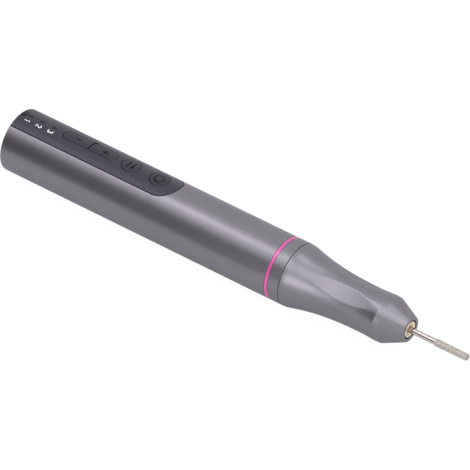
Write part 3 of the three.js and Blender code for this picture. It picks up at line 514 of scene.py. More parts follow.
# %% Grained metal and grit
STEEL = (0.57, 0.50, 0.485)
STEEL_GRAZING_TINT = (0.42, 0.4, 0.4, 1)


def cast_metal(name, colour, roughness, metallic, grain_size, depth):
    """Sintered or plated metal with a fine grain all over."""
    material, tree, shader = new_finish(name, colour, roughness, metallic)
    grain = noise(tree, surface_point(tree), grain_size, detail=4.0, rough=0.65)
    tone(tree, shader, colour, spread(tree, grain, 0.0, 1.0), amount=0.12)
    vary_roughness(tree, shader, grain, low=roughness * 0.8, high=roughness * 1.2)
    bump(tree, shader, grain, depth)
    return material


def grit_finish(name, colour, roughness, metallic, patch):
    """Grains in mixed greys and browns, each with dull and bright facets."""
    material, tree, shader = new_finish(name, colour, roughness, metallic)
    point = surface_point(tree)
    speckle = spread(tree, noise(tree, point, patch, rough=0.6), 0.0, 1.0)
    mixed = blend_colours(tree, speckle, scaled(colour, 0.55), scaled(colour, 1.5))
    feed(tree, shader.inputs["Base Color"], mixed)
    facets = noise(tree, point, size=0.4)
    vary_roughness(tree, shader, facets, low=roughness - 0.1, high=roughness + 0.1)
    bump(tree, shader, noise(tree, point, size=0.05, detail=3.0), depth=0.01)
    return material


GRITS = {
    "grit": dict(colour=(0.56, 0.51, 0.47), roughness=0.38, metallic=0.3, patch=0.2),
    "grit_bond": dict(colour=(0.42, 0.38, 0.35), roughness=0.45, metallic=0.5, patch=0.12),
}
RINGED_METALS = {
    "brass": dict(colour=(0.74, 0.62, 0.46), roughness=0.38, ring_size=0.05, ring_depth=0.003),
    "polished_steel": dict(
        colour=STEEL, roughness=0.17, ring_size=0.08, ring_depth=0.002, specular_tint=STEEL_GRAZING_TINT
    ),
    "steel": dict(colour=(0.55, 0.55, 0.56), roughness=0.3, ring_size=0.06, ring_depth=0.003),
    "bare_aluminium": dict(colour=(0.55, 0.55, 0.57), roughness=0.36, ring_size=0.1, ring_depth=0.004),
}
CAST_METALS = {
    "nickel": dict(colour=(0.62, 0.62, 0.60), roughness=0.28, metallic=1.0, grain_size=0.1, depth=0.002),
    "can_steel": dict(colour=(0.42, 0.42, 0.43), roughness=0.38, metallic=1.0, grain_size=0.4, depth=0.006),
    "magnet": dict(colour=(0.045, 0.045, 0.05), roughness=0.55, metallic=0.5, grain_size=0.15, depth=0.01),
}
make_finishes(grit_finish, GRITS)
finishes["anodised_metal"] = anodised_finish()
finishes["accent_metal"] = magenta_finish()
make_finishes(ringed_metal, RINGED_METALS)
make_finishes(cast_metal, CAST_METALS)
print("metals:", ", ".join(finishes))

# %% [markdown]
# ### Plastics, ink and rubber
# Moulded plastic has a fine spark-eroded grain. The panel is dark with a hint of blue, the keys are a
# shade darker, and the windows are smoked and glossy. Ink, rubber, carbon and the wires' sleeves follow the
# same rule with other settings.

# %% Moulded plastic
PANEL = (0.018, 0.0175, 0.0345)
KEY = (0.009, 0.0095, 0.022)


def moulded_plastic(
    name, colour, roughness, grain_size=0.12, depth=0.006, drift=0.1, **shader_settings
):
    material, tree, shader = new_finish(name, colour, roughness, **shader_settings)
    point = surface_point(tree)
    grain = noise(tree, point, grain_size, detail=3.0, rough=0.6)
    clouds = spread(tree, noise(tree, point, size=5.0), 0.0, 1.0)
    mixed = tone(tree, shader, colour, clouds, drift)
    worn_edges(tree, shader, mixed, worn=scaled(colour, 2.2), amount=0.5)
    vary_roughness(tree, shader, grain, low=roughness * 0.85, high=roughness * 1.15)
    bump(tree, shader, grain, depth)
    return material


PLASTICS = {
    "panel_plastic": dict(colour=PANEL, roughness=0.42),
    "key_plastic": dict(colour=KEY, roughness=0.44),
    "dark_plastic": dict(colour=(0.024, 0.025, 0.028), roughness=0.5),
    "window": dict(
        colour=(0.006, 0.007, 0.009), roughness=0.18, grain_size=0.5, depth=0.001, drift=0.05,
        specular_ior_level=0.25,
    ),
    "sign_ink": dict(
        colour=(0.004, 0.004, 0.006), roughness=0.6, grain_size=0.08, depth=0.003, specular_ior_level=0.08
    ),
    "print_white": dict(colour=(0.80, 0.80, 0.80), roughness=0.5, grain_size=0.08, depth=0.003, drift=0.04),
    "chip": dict(colour=(0.010, 0.010, 0.011), roughness=0.55, grain_size=0.08, depth=0.008),
    "led": dict(colour=(0.80, 0.78, 0.68), roughness=0.3, grain_size=0.3, depth=0.003, drift=0.05),
    "red_wire": dict(colour=(0.45, 0.02, 0.02), roughness=0.35, grain_size=0.2, depth=0.004),
    "black_wire": dict(colour=(0.012, 0.012, 0.013), roughness=0.35, grain_size=0.2, depth=0.004),
    "rubber": dict(colour=(0.010, 0.010, 0.010), roughness=0.7, grain_size=0.1, depth=0.008),
    "carbon": dict(colour=(0.014, 0.014, 0.015), roughness=0.6, grain_size=0.08, depth=0.01, drift=0.2),
}
make_finishes(moulded_plastic, PLASTICS)
print("plastics:", ", ".join(PLASTICS))

# %% [markdown]
# ### The board, the rotor and the cell
# The board has copper tracks under its green mask, the rotor shows its sheets and windings, and the cell is
# wrapped in film. None of them shows from outside, so each has a simple rule: a Brick Texture for the
# tracks, a Wave Texture for the windings, and noise drawn out along the pen for the film's creases.

# %% Board, rotor and cell
BOARD_CELL_SCALE = 260.0
WINDING_SCALE = 420.0


def board_finish():
    colour = (0.015, 0.10, 0.045)
    material, tree, shader = new_finish("board", colour, roughness=0.32, coat_weight=0.4)
    point = surface_point(tree)
    cells = add_node(tree, "ShaderNodeTexBrick", {"Vector": point, "Scale": BOARD_CELL_SCALE})
    for socket, share in {"Color1": 1, "Color2": 1.25, "Mortar": 1.9}.items():
        cells.inputs[socket].default_value = (*scaled(colour, share), 1)
    feed(tree, shader.inputs["Base Color"], cells.outputs["Color"])
    bump(tree, shader, cells.outputs["Fac"], depth=0.03, strength=0.6)
    return material


def rotor_finish():
    copper, iron = (0.60, 0.26, 0.12), (0.34, 0.33, 0.33)
    material, tree, shader = new_finish("rotor_copper", copper, roughness=0.34, metallic=1.0)
    settings = {"Vector": surface_point(tree), "Scale": WINDING_SCALE}
    wave = add_node(tree, "ShaderNodeTexWave", settings).outputs["Fac"]
    feed(tree, shader.inputs["Base Color"], blend_colours(tree, wave, copper, iron))
    vary_roughness(tree, shader, wave, low=0.28, high=0.48, start=0.0, end=1.0)
    bump(tree, shader, wave, depth=0.03)
    return material


def cell_finish():
    colour = (0.03, 0.16, 0.42)
    material, tree, shader = new_finish("cell_wrap", colour, roughness=0.26, coat_weight=0.3)
    creases = noise(tree, surface_point(tree, stretch=(0.25, 1, 1)), size=1.2, detail=3.0)
    tone(tree, shader, colour, spread(tree, creases, 0.0, 1.0), amount=0.1)
    vary_roughness(tree, shader, creases, low=0.2, high=0.34)
    bump(tree, shader, creases, depth=0.03)
    return material


finishes["board"] = board_finish()
finishes["rotor_copper"] = rotor_finish()
finishes["cell_wrap"] = cell_finish()
print("finishes:", len(finishes))

# %% [markdown]
# ## Rules made of nodes
# What follows a rule is made by Geometry Nodes. All those trees begin and end alike. They begin with named
# inputs, of which the first is the geometry that goes in. At the end the result is made real and gets its
# finish. Two helpers do that, and a third lays what was made round Z along the pen.

# %% Helpers for Geometry Nodes
def new_tree(name, **kinds):
    """A Geometry Nodes tree with named inputs, given by kind. Returns it, its sockets and its source."""
    tree = bpy.data.node_groups.new(name, "GeometryNodeTree")
    sockets = {}
    for kind, keys in kinds.items():
        for key in keys:
            item = tree.interface.new_socket(name=key, in_out="INPUT", socket_type="NodeSocket" + kind)
            sockets[key] = item.identifier
    tree.interface.new_socket(name="Piece", in_out="OUTPUT", socket_type="NodeSocketGeometry")
    return tree, sockets, add_node(tree, "NodeGroupInput").outputs


def end_tree(tree, geometry, finish, smooth=False):
    """Makes the result real, gives it its finish and hands it out."""
    if smooth:
        geometry = add_node(tree, "GeometryNodeSetShadeSmooth", {"Geometry": geometry}).outputs[0]
    real = add_node(tree, "GeometryNodeRealizeInstances", {"Geometry": geometry}).outputs[0]
    named = add_node(tree, "GeometryNodeSetMaterial", {"Geometry": real, "Material": finish})
    add_node(tree, "NodeGroupOutput", {0: named.outputs[0]})


def lay_along_pen(tree, geometry, place):
    """Turns what was made round Z so that it lies along the pen, and puts it in its place."""
    settings = {"Geometry": geometry, "Translation": place, "Rotation": (0, math.pi / 2, 0)}
    return add_node(tree, "GeometryNodeTransform", settings).outputs[0]


print("helpers ready: new_tree, end_tree, lay_along_pen")

# %% [markdown]
# ## Turned pieces, with Geometry Nodes
# Most of the pen is turned on a lathe, so its shape follows a rule: a profile goes round the axis. The
# tree below is that lathe. It takes the profile as a chain of points, spreads a grid with one row per
# point and one column per step round the axis, and moves each grid point to its place. One more column
# falls on the first and is merged with it, which closes the seam.
# A second branch cuts the finger recesses: at each point it works out how far out the cutter's surface
# is, and keeps the smaller of the two radii. A smooth minimum leaves the slightly soft edge of a
# blasted part.

# %% Build the lathe tree
SEAM_REACH = 1e-7


def recess_radius(tree, source, x, angle, radius):
    """The radius left after the recess cutter: flat across and hollow along."""
    pitch = math_node(tree, "DIVIDE", FULL_TURN, source["Recess Count"])
    half = math_node(tree, "MULTIPLY", pitch, 0.5)
    turned_by = math_node(tree, "SUBTRACT", math_node(tree, "ADD", angle, half), source["First Recess"])
    local = math_node(tree, "SUBTRACT", math_node(tree, "FLOORED_MODULO", turned_by, pitch), half)
    along = math_node(tree, "SUBTRACT", x, source["Recess Middle"])
    cutter = source["Cutter Radius"]
    squares = [math_node(tree, "MULTIPLY", length, length) for length in (cutter, along)]
    inside = math_node(tree, "SUBTRACT", *squares)
    rise = math_node(tree, "SUBTRACT", cutter, math_node(tree, "SQRT", inside))
    floor = math_node(tree, "ADD", source["Recess Floor"], rise)
    flat = math_node(tree, "DIVIDE", floor, math_node(tree, "COSINE", local))
    return math_node(tree, "SMOOTH_MIN", radius, flat, source["Edge Blend"])


def lathe_tree(name, with_recesses):
    counts, measures = ["Steps Round"], ["Axis Height"]
    if with_recesses:
        counts.append("Recess Count")
        measures += ["Recess Middle", "Recess Floor", "Cutter Radius", "First Recess", "Edge Blend"]
    tree, sockets, source = new_tree(
        name, Geometry=["Profile"], Int=counts, Float=measures, Material=["Finish"]
    )
    profile = source["Profile"]
    size = add_node(tree, "GeometryNodeAttributeDomainSize", {"Geometry": profile}, component="MESH")
    rows = size.outputs["Point Count"]
    columns = math_node(tree, "ADD", source["Steps Round"], 1.0)
    grid = add_node(tree, "GeometryNodeMeshGrid", {"Vertices X": rows, "Vertices Y": columns})
    index = add_node(tree, "GeometryNodeInputIndex").outputs[0]
    row = math_node(tree, "FLOOR", math_node(tree, "DIVIDE", math_node(tree, "ADD", index, 0.5), columns))
    column = math_node(tree, "SUBTRACT", index, math_node(tree, "MULTIPLY", row, columns))
    place = add_node(
        tree,
        "GeometryNodeSampleIndex",
        {"Geometry": profile, "Index": row},
        data_type="FLOAT_VECTOR",
        domain="POINT",
    )
    feed(tree, place.inputs["Value"], add_node(tree, "GeometryNodeInputPosition").outputs[0])
    parts = add_node(tree, "ShaderNodeSeparateXYZ", {0: place.outputs[0]}).outputs
    x, radius = parts["X"], parts["Z"]
    turn = math_node(tree, "DIVIDE", math_node(tree, "MULTIPLY", column, FULL_TURN), source["Steps Round"])
    if with_recesses:
        radius = recess_radius(tree, source, x, turn, radius)
    y = math_node(tree, "MULTIPLY", radius, math_node(tree, "SINE", turn))
    z = math_node(tree, "MULTIPLY", radius, math_node(tree, "COSINE", turn))
    z = math_node(tree, "ADD", z, source["Axis Height"])
    where = add_node(tree, "ShaderNodeCombineXYZ", {0: x, 1: y, 2: z})
    settings = {"Geometry": grid.outputs["Mesh"], "Position": where.outputs[0]}
    moved = add_node(tree, "GeometryNodeSetPosition", settings)
    settings = {"Geometry": moved.outputs[0], "Distance": SEAM_REACH}
    closed = add_node(tree, "GeometryNodeMergeByDistance", settings)
    end_tree(tree, closed.outputs[0], source["Finish"], smooth=True)
    return tree, sockets


plain_lathe = lathe_tree("turned_piece", False)
recess_lathe = lathe_tree("turned_piece_with_recesses", True)
print("lathe trees:", plain_lathe[0].name, "and", recess_lathe[0].name)

# %% [markdown]
# A profile is a chain of corners, and real corners are never quite sharp. This helper rounds each
# corner by its own radius. It also adds a point just before and just after each round, which keeps the
# shading of a long straight part from being pulled by the corner.

# %% Profiles with rounded corners
SUPPORT = 0.03


def rounded(corners, steps=4):
    """Corners are (x, radius, rounding) in mm. Returns the (x, radius) points of the rounded chain."""
    points = []
    last = len(corners) - 1
    for i, (x, radius, rounding) in enumerate(corners):
        corner = Vector((x, radius))
        if rounding == 0 or i in (0, last):
            points.append(corner)
            continue
        before = Vector(corners[i - 1][:2]) - corner
        after = Vector(corners[i + 1][:2]) - corner
        before.normalize()
        after.normalize()
        angle = before.angle(after)
        reach = rounding / math.tan(angle / 2)
        centre = corner + (before + after).normalized() * rounding / math.sin(angle / 2)
        start = corner + before * reach - centre
        sweep = start.angle_signed(corner + after * reach - centre)
        points.append(corner + before * (reach + SUPPORT))
        for step in range(steps + 1):
            turn = -sweep * step / steps
            c, s = math.cos(turn), math.sin(turn)
            points.append(centre + Vector((start.x * c - start.y * s, start.x * s + start.y * c)))
        points.append(corner + after * (reach + SUPPORT))
    return [(p.x, p.y) for p in points]


print("a rounding has a support point", SUPPORT, "mm before it and after it")

# %% [markdown]
# Every finished mesh is kept in the same way: it becomes an object that rides on one body, and the CAD
# nodes that it replaces are hidden, where it has those. Its volume is printed, because a volume below zero
# would mean that the faces point inwards.

# %% Keep a finished piece
def volume_of(mesh):
    solid = bmesh.new()
    solid.from_mesh(mesh)
    volume = solid.calc_volume(signed=True)
    solid.free()
    return volume


def keep_piece(name, mesh, body, replaced=()):
    """Puts a finished mesh in the scene as a piece that rides on a body."""
    piece = in_scene(name, mesh)
    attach(piece, body)
    if replaced:
        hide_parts(*replaced)
    print(name, len(mesh.polygons), "faces, volume", round(volume_of(mesh) / MM**3, 2), "mm3")
    return piece


def face_outwards(mesh):
    """Turns every face outwards, so that the solid's volume is above zero."""
    solid = bmesh.new()
    solid.from_mesh(mesh)
    bmesh.ops.recalc_face_normals(solid, faces=solid.faces)
    if solid.calc_volume(signed=True) < 0:
        bmesh.ops.reverse_faces(solid, faces=solid.faces)
    solid.to_mesh(mesh)
    solid.free()
    return mesh


print("helpers ready: volume_of, keep_piece, face_outwards")

# %% [markdown]
# A tree runs as a modifier on a worker object. What comes out is copied to a plain mesh, and the worker is
# thrown away. A turned piece is its profile, put through the lathe like that.

# %% Run a mesh through a tree
def through_nodes(name, mesh, tree, sockets, values):
    """Runs a mesh through a Geometry Nodes tree and returns the plain mesh that comes out."""
    worker = in_scene(name + "_worker", mesh)
    modifier = worker.modifiers.new("Rule", "NODES")
    modifier.node_group = tree
    for key, value in values.items():
        modifier[sockets[key]] = value
    depsgraph = bpy.context.evaluated_depsgraph_get()
    made = bpy.data.meshes.new_from_object(worker.evaluated_get(depsgraph))
    worker.modifiers.clear()
    bpy.data.objects.remove(worker)
    made.name = name
    return made


def profile_mesh(name, points):
    """A chain of (x, radius) points in mm as a mesh of edges, in metres, radius along Z."""
    mesh = bpy.data.meshes.new(name + "_profile")
    chain = [(along_pen(x), 0, radius * MM) for x, radius in points]
    mesh.from_pydata(chain, [(i, i + 1) for i in range(len(chain) - 1)], [])
    return mesh


def turned(name, points, finish, steps_round=128, lathe=None, **recess):
    tree, sockets = lathe or plain_lathe
    values = {"Steps Round": steps_round, "Axis Height": axis_height, "Finish": finishes[finish], **recess}
    return face_outwards(through_nodes(name, profile_mesh(name, points), tree, sockets, values))


print("helpers ready: through_nodes, profile_mesh, turned")

# %% [markdown]
# ## Ring and collar
# The magenta ring and the collar are short turned tubes. Their edges are broken by about a tenth of a
# millimetre, so each joint between them reads as a fine dark line with a thin highlight.

# %% Turn the ring and the collar
RING_BREAK = 0.12
COLLAR_BREAK = 0.1
COLLAR_OVERLAP = 0.08
RING_BELOW_SHELL = 0.03
TUBE_WALL = 2.6
TUBE_STEPS = 192


def tube_profile(start, end, inner, outer, edge):
    corners = [
        (start, (inner + outer) / 2, 0),
        (start, outer, edge),
        (end, outer, edge),
        (end, inner, edge),
        (start, inner, edge),
        (start, (inner + outer) / 2, 0),
    ]
    return rounded(corners)


ring_start, ring_end = span("accent_ring")
collar_start, collar_end = span("front_collar")
ring_bore = shell_radius - TUBE_WALL
ring_radius = shell_radius - RING_BELOW_SHELL
ring_points = tube_profile(ring_start, ring_end, ring_bore, ring_radius, RING_BREAK)
ring = turned("magenta_ring", ring_points, "accent_metal", TUBE_STEPS)
keep_piece("magenta_ring", ring, "handle", ["accent_ring"])
collar_end += COLLAR_OVERLAP
collar_points = tube_profile(collar_start, collar_end, ring_bore, shell_radius, COLLAR_BREAK)
collar = turned("collar", collar_points, "anodised_metal", TUBE_STEPS)
keep_piece("collar", collar, "handle", ["front_collar"])

# %% [markdown]
# ## Grip nose
# The nose falls from the barrel's radius to a waist, rises a little to a crease, and ends in a short cone
# round the collet. The grip goes through listed shares of its length and of its step down from the
# barrel, and a smooth curve through them makes the rows of the lathe.

# %% Draw the grip's curve
NOSE_OVERLAP = 0.1
GRIP_LENGTH = 39.0
WAIST_RADIUS = 8.88
GRIP_ROWS = 190
grip_shares = [
    (0, 1), (0.04, 0.955), (0.08, 0.86), (0.145, 0.695), (0.21, 0.55), (0.285, 0.4), (0.37, 0.265),
    (0.5, 0.12), (0.62, 0.042), (0.75, 0.004), (0.84, 0), (0.94, 0.045), (1, 0.09),
]
nose_rear, nose_front = span("nose_grip")
nose_start = nose_rear - NOSE_OVERLAP


def grip_curve(rows):
    """Points on a smooth curve through the grip's shares, as (x, radius) in mm."""
    step_down = shell_radius - WAIST_RADIUS
    knots = [
        Vector((nose_start + along * GRIP_LENGTH, WAIST_RADIUS + out * step_down))
        for along, out in grip_shares
    ]
    ends = [knots[0] * 2 - knots[1], *knots, knots[-1] * 2 - knots[-2]]
    points = []
    for i in range(rows + 1):
        at = i / rows * (len(knots) - 1)
        k = min(int(at), len(knots) - 2)
        t = at - k
        p0, p1, p2, p3 = ends[k : k + 4]
        square, cube = 2 * p0 - 5 * p1 + 4 * p2 - p3, 3 * p1 - p0 - 3 * p2 + p3
        points.append(0.5 * (2 * p1 + (p2 - p0) * t + square * t**2 + cube * t**3))
    return [(p.x, p.y) for p in points]


grip = grip_curve(GRIP_ROWS)
print("the grip's waist:", round(min(radius for _, radius in grip), 3), "mm in radius")

# %% [markdown]
# The rest of the profile is corners: the rear edge, a narrow band in front of the crease, the cone's tip,
# and the mouth that the collet stands in. The six recesses aren't in the profile. The tree cuts them, by
# the numbers that it is given last.

# %% Turn the nose
BAND_LENGTH = 2.4
TIP_RADIUS = 5.0
MOUTH_RADIUS = 3.725
MOUTH_LENGTH = 3.8
NOSE_BORE = 6.875
BAND_DROP = 0.15
NOSE_BREAK = 0.1
LEAD_LENGTH = 0.8
LEAD_DROP = 0.1
FIRST_ROW = 0.45
ROWS_FOR_CREASE = 4
CREASE_ROUND = 0.25
BAND_ROUND = 0.2
TIP_ROUND = 0.3
MOUTH_ROUND = 0.15
BORE_ROUND = 0.3
BORE_TAPER = 3.2
NOSE_STEPS = 312
RECESSES = 6
FIRST_RECESS = -math.radians(42)
RECESS_MIDDLE = 155.0
RECESS_FLOOR = 8.39
RECESS_CUTTER = 68
RECESS_BLEND = 0.12
crease = nose_rear + GRIP_LENGTH
band_end = crease + BAND_LENGTH
crease_radius = grip[-1][1]
last_row = grip[-ROWS_FOR_CREASE]
rear_edge = rounded(
    [
        (nose_start, NOSE_BORE, 0),
        (nose_start, grip[0][1], NOSE_BREAK),
        (nose_start + LEAD_LENGTH, grip[0][1] - LEAD_DROP, 0),
    ]
)
front_part = rounded(
    [
        (*last_row, 0),
        (crease, crease_radius, CREASE_ROUND),
        (band_end, crease_radius - BAND_DROP, BAND_ROUND),
        (nose_front, TIP_RADIUS, TIP_ROUND),
        (nose_front, MOUTH_RADIUS, MOUTH_ROUND),
        (nose_front - MOUTH_LENGTH, MOUTH_RADIUS, BORE_ROUND),
        (nose_front - MOUTH_LENGTH - BORE_TAPER, NOSE_BORE, BORE_ROUND),
        (nose_start, NOSE_BORE, 0),
    ]
)
grip_rows = [p for p in grip if nose_start + FIRST_ROW < p[0] < last_row[0]]
nose_points = rear_edge[:-1] + grip_rows + front_part
nose = turned(
    "nose_shell",
    nose_points,
    "anodised_metal",
    NOSE_STEPS,
    recess_lathe,
    **{
        "Recess Count": RECESSES,
        "First Recess": FIRST_RECESS,
        "Recess Middle": along_pen(RECESS_MIDDLE),
        "Recess Floor": RECESS_FLOOR * MM,
        "Cutter Radius": RECESS_CUTTER * MM,
        "Edge Blend": RECESS_BLEND * MM,
    },
)
keep_piece("nose_shell", nose, "nose", ["nose_grip"])

# %% [markdown]
# ## Plates bent round the barrel
# The barrel's skin, the key panel, the key caps, the windows and the printed signs are all plates of some
# outline that follow the same round surface. A plate could be cut out of a tube with booleans, but those
# leave long faces that spoil the shine. Here each outline is drawn flat, the flat area is filled with
# an even net of triangles, and the net is then bent round the axis. The edges get a real rounding, ring
# by ring, and every point knows its exact normal.

# %% Find what lies inside
NO_SIZE = 1e-12


def inside_loop(points, loop):
    """Which points lie inside a closed loop, by counting the edges that a ray crosses."""
    x, y = points[:, 0], points[:, 1]
    hit = np.zeros(len(points), bool)
    for (x0, y0), (x1, y1) in zip(loop, np.roll(loop, -1, axis=0)):
        if y0 == y1:
            continue
        crosses = (y0 > y) != (y1 > y)
        hit ^= crosses & (x < x0 + (y - y0) * (x1 - x0) / (y1 - y0))
    return hit


def far_from(points, loops, distance):
    """Which points keep their distance from every edge of the loops."""
    keep = np.ones(len(points), bool)
    for loop in loops:
        for a, b in zip(loop, np.roll(loop, -1, axis=0)):
            along = b - a
            length = max(float(along @ along), NO_SIZE)
            share = np.clip(((points - a) @ along) / length, 0, 1)
            gap = np.linalg.norm(points - (a + share[:, None] * along), axis=1)
            keep &= gap > distance
    return keep


def in_area(points, outers, holes):
    covered = np.zeros(len(points), bool)
    for loop in outers:
        covered |= inside_loop(points, loop)
    for loop in holes:
        covered &= ~inside_loop(points, loop)
    return covered


print("tests ready: inside_loop, far_from, in_area")

# %% [markdown]
# The net is a plain grid of points, without those that lie close to an edge. A triangulation joins them
# with the points of the outline, and keeps the outline's edges. What it makes outside the area or in a
# hole is dropped.

# %% Fill a flat outline with an even net
SAME_POINT = 1e-7
CLEAR_SHARE = 0.35


def fill(outers, holes, pitch):
    """Triangles that fill the outer loops without the holes. Returns the points and the faces."""
    loops = [np.array(loop, float) for loop in [*outers, *holes]]
    outer_loops, hole_loops = loops[: len(outers)], loops[len(outers) :]
    everything = np.concatenate(loops)
    low, high = everything.min(0), everything.max(0)
    columns = np.arange(low[0] + pitch[0] / 2, high[0], pitch[0])
    rows = np.arange(low[1] + pitch[1] / 2, high[1], pitch[1])
    net = np.array([(x, y) for x in columns for y in rows])
    if len(net):
        net = net[in_area(net, outer_loops, hole_loops)]
        net = net[far_from(net, loops, CLEAR_SHARE * min(pitch))]
    edges, start = [], 0
    for loop in loops:
        count = len(loop)
        edges += [(start + i, start + (i + 1) % count) for i in range(count)]
        start += count
    given = np.concatenate([everything, net]) if len(net) else everything
    points, _, faces, *_ = delaunay_2d_cdt([Vector(p) for p in given], edges, [], 0, SAME_POINT)
    points = np.array([tuple(p) for p in points])
    centres = np.array([points[list(face)].mean(0) for face in faces])
    chosen = in_area(centres, outer_loops, hole_loops)
    faces = [face for face, keep in zip(faces, chosen) if keep]
    return points, [face if turns_left(points, face) else face[::-1] for face in faces]


def turns_left(points, face):
    (ax, ay), (bx, by), (cx, cy) = (points[i] for i in face[:3])
    return (bx - ax) * (cy - ay) - (by - ay) * (cx - ax) > 0


print("flat filling ready")

# %% [markdown]
# The same way of building also makes flat-ended parts, so a surface is described by one small object that
# knows how to lift a flat point into place. `ShellSurface` is round, `LevelSurface` is flat and faces up
# or down, `EndSurface` faces along the pen.

# %% Surfaces
class ShellSurface:
    """The round surface at a radius. Flat points are (x, arc), both in mm."""

    def __init__(self, radius):
        self.radius = radius

    def flat(self, point, drop=0.0):
        x, where, weight = point
        return x, where(self.radius - drop * weight) * self.radius

    def lift(self, flat, drop=0.0):
        angle = flat[1] / self.radius
        return on_pen(flat[0], angle, self.radius - drop), Vector((0, math.sin(angle), math.cos(angle)))


class LevelSurface:
    """A level surface at a height above the axis. Flat points are (x, y) in mm."""

    def __init__(self, level, facing=1):
        self.level, self.facing = level, facing

    def flat(self, point, drop=0.0):
        x, where, _ = point
        return x, math.sin(where(shell_radius)) * shell_radius

    def lift(self, flat, drop=0.0):
        place = from_axis(flat[0], flat[1], self.level - drop * self.facing)
        return place, Vector((0, 0, self.facing))


class EndSurface:
    """A surface across the pen that faces the rear. Flat points are (-y, z) in mm from the axis."""

    def __init__(self, x):
        self.x = x

    def flat(self, point, drop=0.0):
        return point[0], point[1]

    def lift(self, flat, drop=0.0):
        place = from_axis(self.x + drop, -flat[0], flat[1])
        return place, Vector((-1, 0, 0))


print("surfaces ready: round, level, and across the pen")

# %% [markdown]
# A plate is built as a skin: points, faces, and a normal for each corner of each face. Places that are the
# same become one point, so parts that meet are joined. The skin can bridge two rings of places, or cover
# a filled outline.

# %% The skin
PLACES_IN_A_METRE = 1e7
NO_AREA = 1e-14


class Skin:
    """Collects points and faces, and keeps a normal for each corner of each face."""

    def __init__(self):
        self.points, self.faces, self.normals, self.known = [], [], [], {}

    def number(self, place):
        key = tuple(round(c * PLACES_IN_A_METRE) for c in place)
        if key not in self.known:
            self.known[key] = len(self.points)
            self.points.append(place)
        return self.known[key]

    def face(self, places, normals=None):
        numbers = [self.number(p) for p in places]
        if normals is None:
            flat = (places[1] - places[0]).cross(places[2] - places[0])
            if flat.length < NO_AREA:
                flat = (places[2] - places[0]).cross(places[3] - places[0])
            normals = [flat.normalized()] * len(places)
        pairs = enumerate(zip(numbers, normals))
        kept = [(n, normal) for i, (n, normal) in pairs if n != numbers[i - 1]]
        if len(kept) > 2:
            self.faces.append([n for n, _ in kept])
            self.normals += [normal for _, normal in kept]

    def bridge(self, first, second, first_normals=None, second_normals=None, skip=()):
        """Joins two rings of places by four-sided faces. The second ring lies outwards of the first."""
        count = len(first)
        for i in range(count):
            j = (i + 1) % count
            if i in skip:
                continue
            normals = None
            if first_normals:
                normals = [first_normals[i], second_normals[i], second_normals[j], first_normals[j]]
            self.face([first[i], second[i], second[j], first[j]], normals)

    def cover(self, surface, outers, holes, pitch, over=True, drop=0.0):
        """Fills flat loops with a net that lies on the surface, its faces outwards or inwards."""
        points, faces = fill(outers, holes, pitch)
        for face in faces:
            lifted = [surface.lift(points[i], drop) for i in (face if over else face[::-1])]
            self.face([p for p, _ in lifted], [n if over else -n for _, n in lifted])

    def mesh(self, name, finish):
        mesh = bpy.data.meshes.new(name)
        mesh.from_pydata([tuple(p) for p in self.points], [], self.faces)
        mesh.polygons.foreach_set("use_smooth", [True] * len(mesh.polygons))
        mesh.normals_split_custom_set([tuple(n) for n in self.normals])
        mesh.materials.append(finishes[finish])
        return mesh


def keep_skin(name, skin, body, node, finish):
    """Keeps a skin with its finish as a piece that replaces a CAD node."""
    return keep_piece(name, skin.mesh(name, finish), body, [node])


print("skin ready")

# %% [markdown]
# Every plate has a rounded edge: a few rings of faces between its level top and its upright wall. Their
# normals turn with them, from straight up to straight out.

# %% Round the edge of a plate
RIM_STEPS = 3
NO_LENGTH = 1e-9


def rim(skin, surface, outline, edge, skip=()):
    """Rounds a plate's edge. The outline is a function of how far it is drawn in, from 1 to 0 edges.
    Returns the flat loop where the level top begins, the ring of places where the wall begins, and the
    wall's normals."""
    rings, loops = [], []
    for step in range(RIM_STEPS + 1):
        angle = math.pi / 2 * step / RIM_STEPS
        drop = edge * (1 - math.cos(angle))
        points = outline(edge * (1 - math.sin(angle)))
        flats = [surface.flat(p, drop) for p in points]
        weights = [p[2] if len(p) > 2 else 1.0 for p in points]
        rings.append([surface.lift(f, drop * w) for f, w in zip(flats, weights)])
        loops.append(flats)
    outs = []
    for (start, up), (end, _) in zip(rings[0], rings[-1]):
        out = end - start
        out -= up * out.dot(up)
        outs.append(out.normalized() if out.length > NO_LENGTH else up)
    for step in range(RIM_STEPS):
        normals = []
        for k in (step, step + 1):
            angle = math.pi / 2 * k / RIM_STEPS
            c, s = math.cos(angle), math.sin(angle)
            normals.append([up * c + out * s for (_, up), out in zip(rings[k], outs)])
        places = [[p for p, _ in rings[k]] for k in (step, step + 1)]
        skin.bridge(places[0], places[1], normals[0], normals[1], skip)
    return loops[0], [p for p, _ in rings[-1]], outs


print("edges are rounded in", RIM_STEPS, "steps")

# %% [markdown]
# ## Outlines
# An outline is a function: it is given a distance, and returns its points drawn in by that distance. Each
# point is a place along the pen, a rule for its angle at any radius, and a weight for how deep its edge
# rounding is. A straight cut keeps its distance from the middle plane at every radius, so its rule is an
# arc sine.

# %% Cuts, circles and boxes
LEAST_CORNER = 0.001


def cut_at(y):
    """The angle at which a straight cut at a distance y from the middle plane meets any radius."""
    return lambda radius: math.asin(max(-1.0, min(1.0, y / radius)))


def plan(points, weight=1.0):
    return [(x, cut_at(y), weight) for x, y in points]


def stations(start, end, count):
    """Evenly spaced values from start up to, but without, end."""
    return [start + (end - start) * i / count for i in range(count)]


def circle_outline(x, radius, count=72):
    def outline(inset):
        reach = radius - inset
        turns = stations(0, FULL_TURN, count)
        return plan([(x + reach * math.cos(t), reach * math.sin(t)) for t in turns])

    return outline


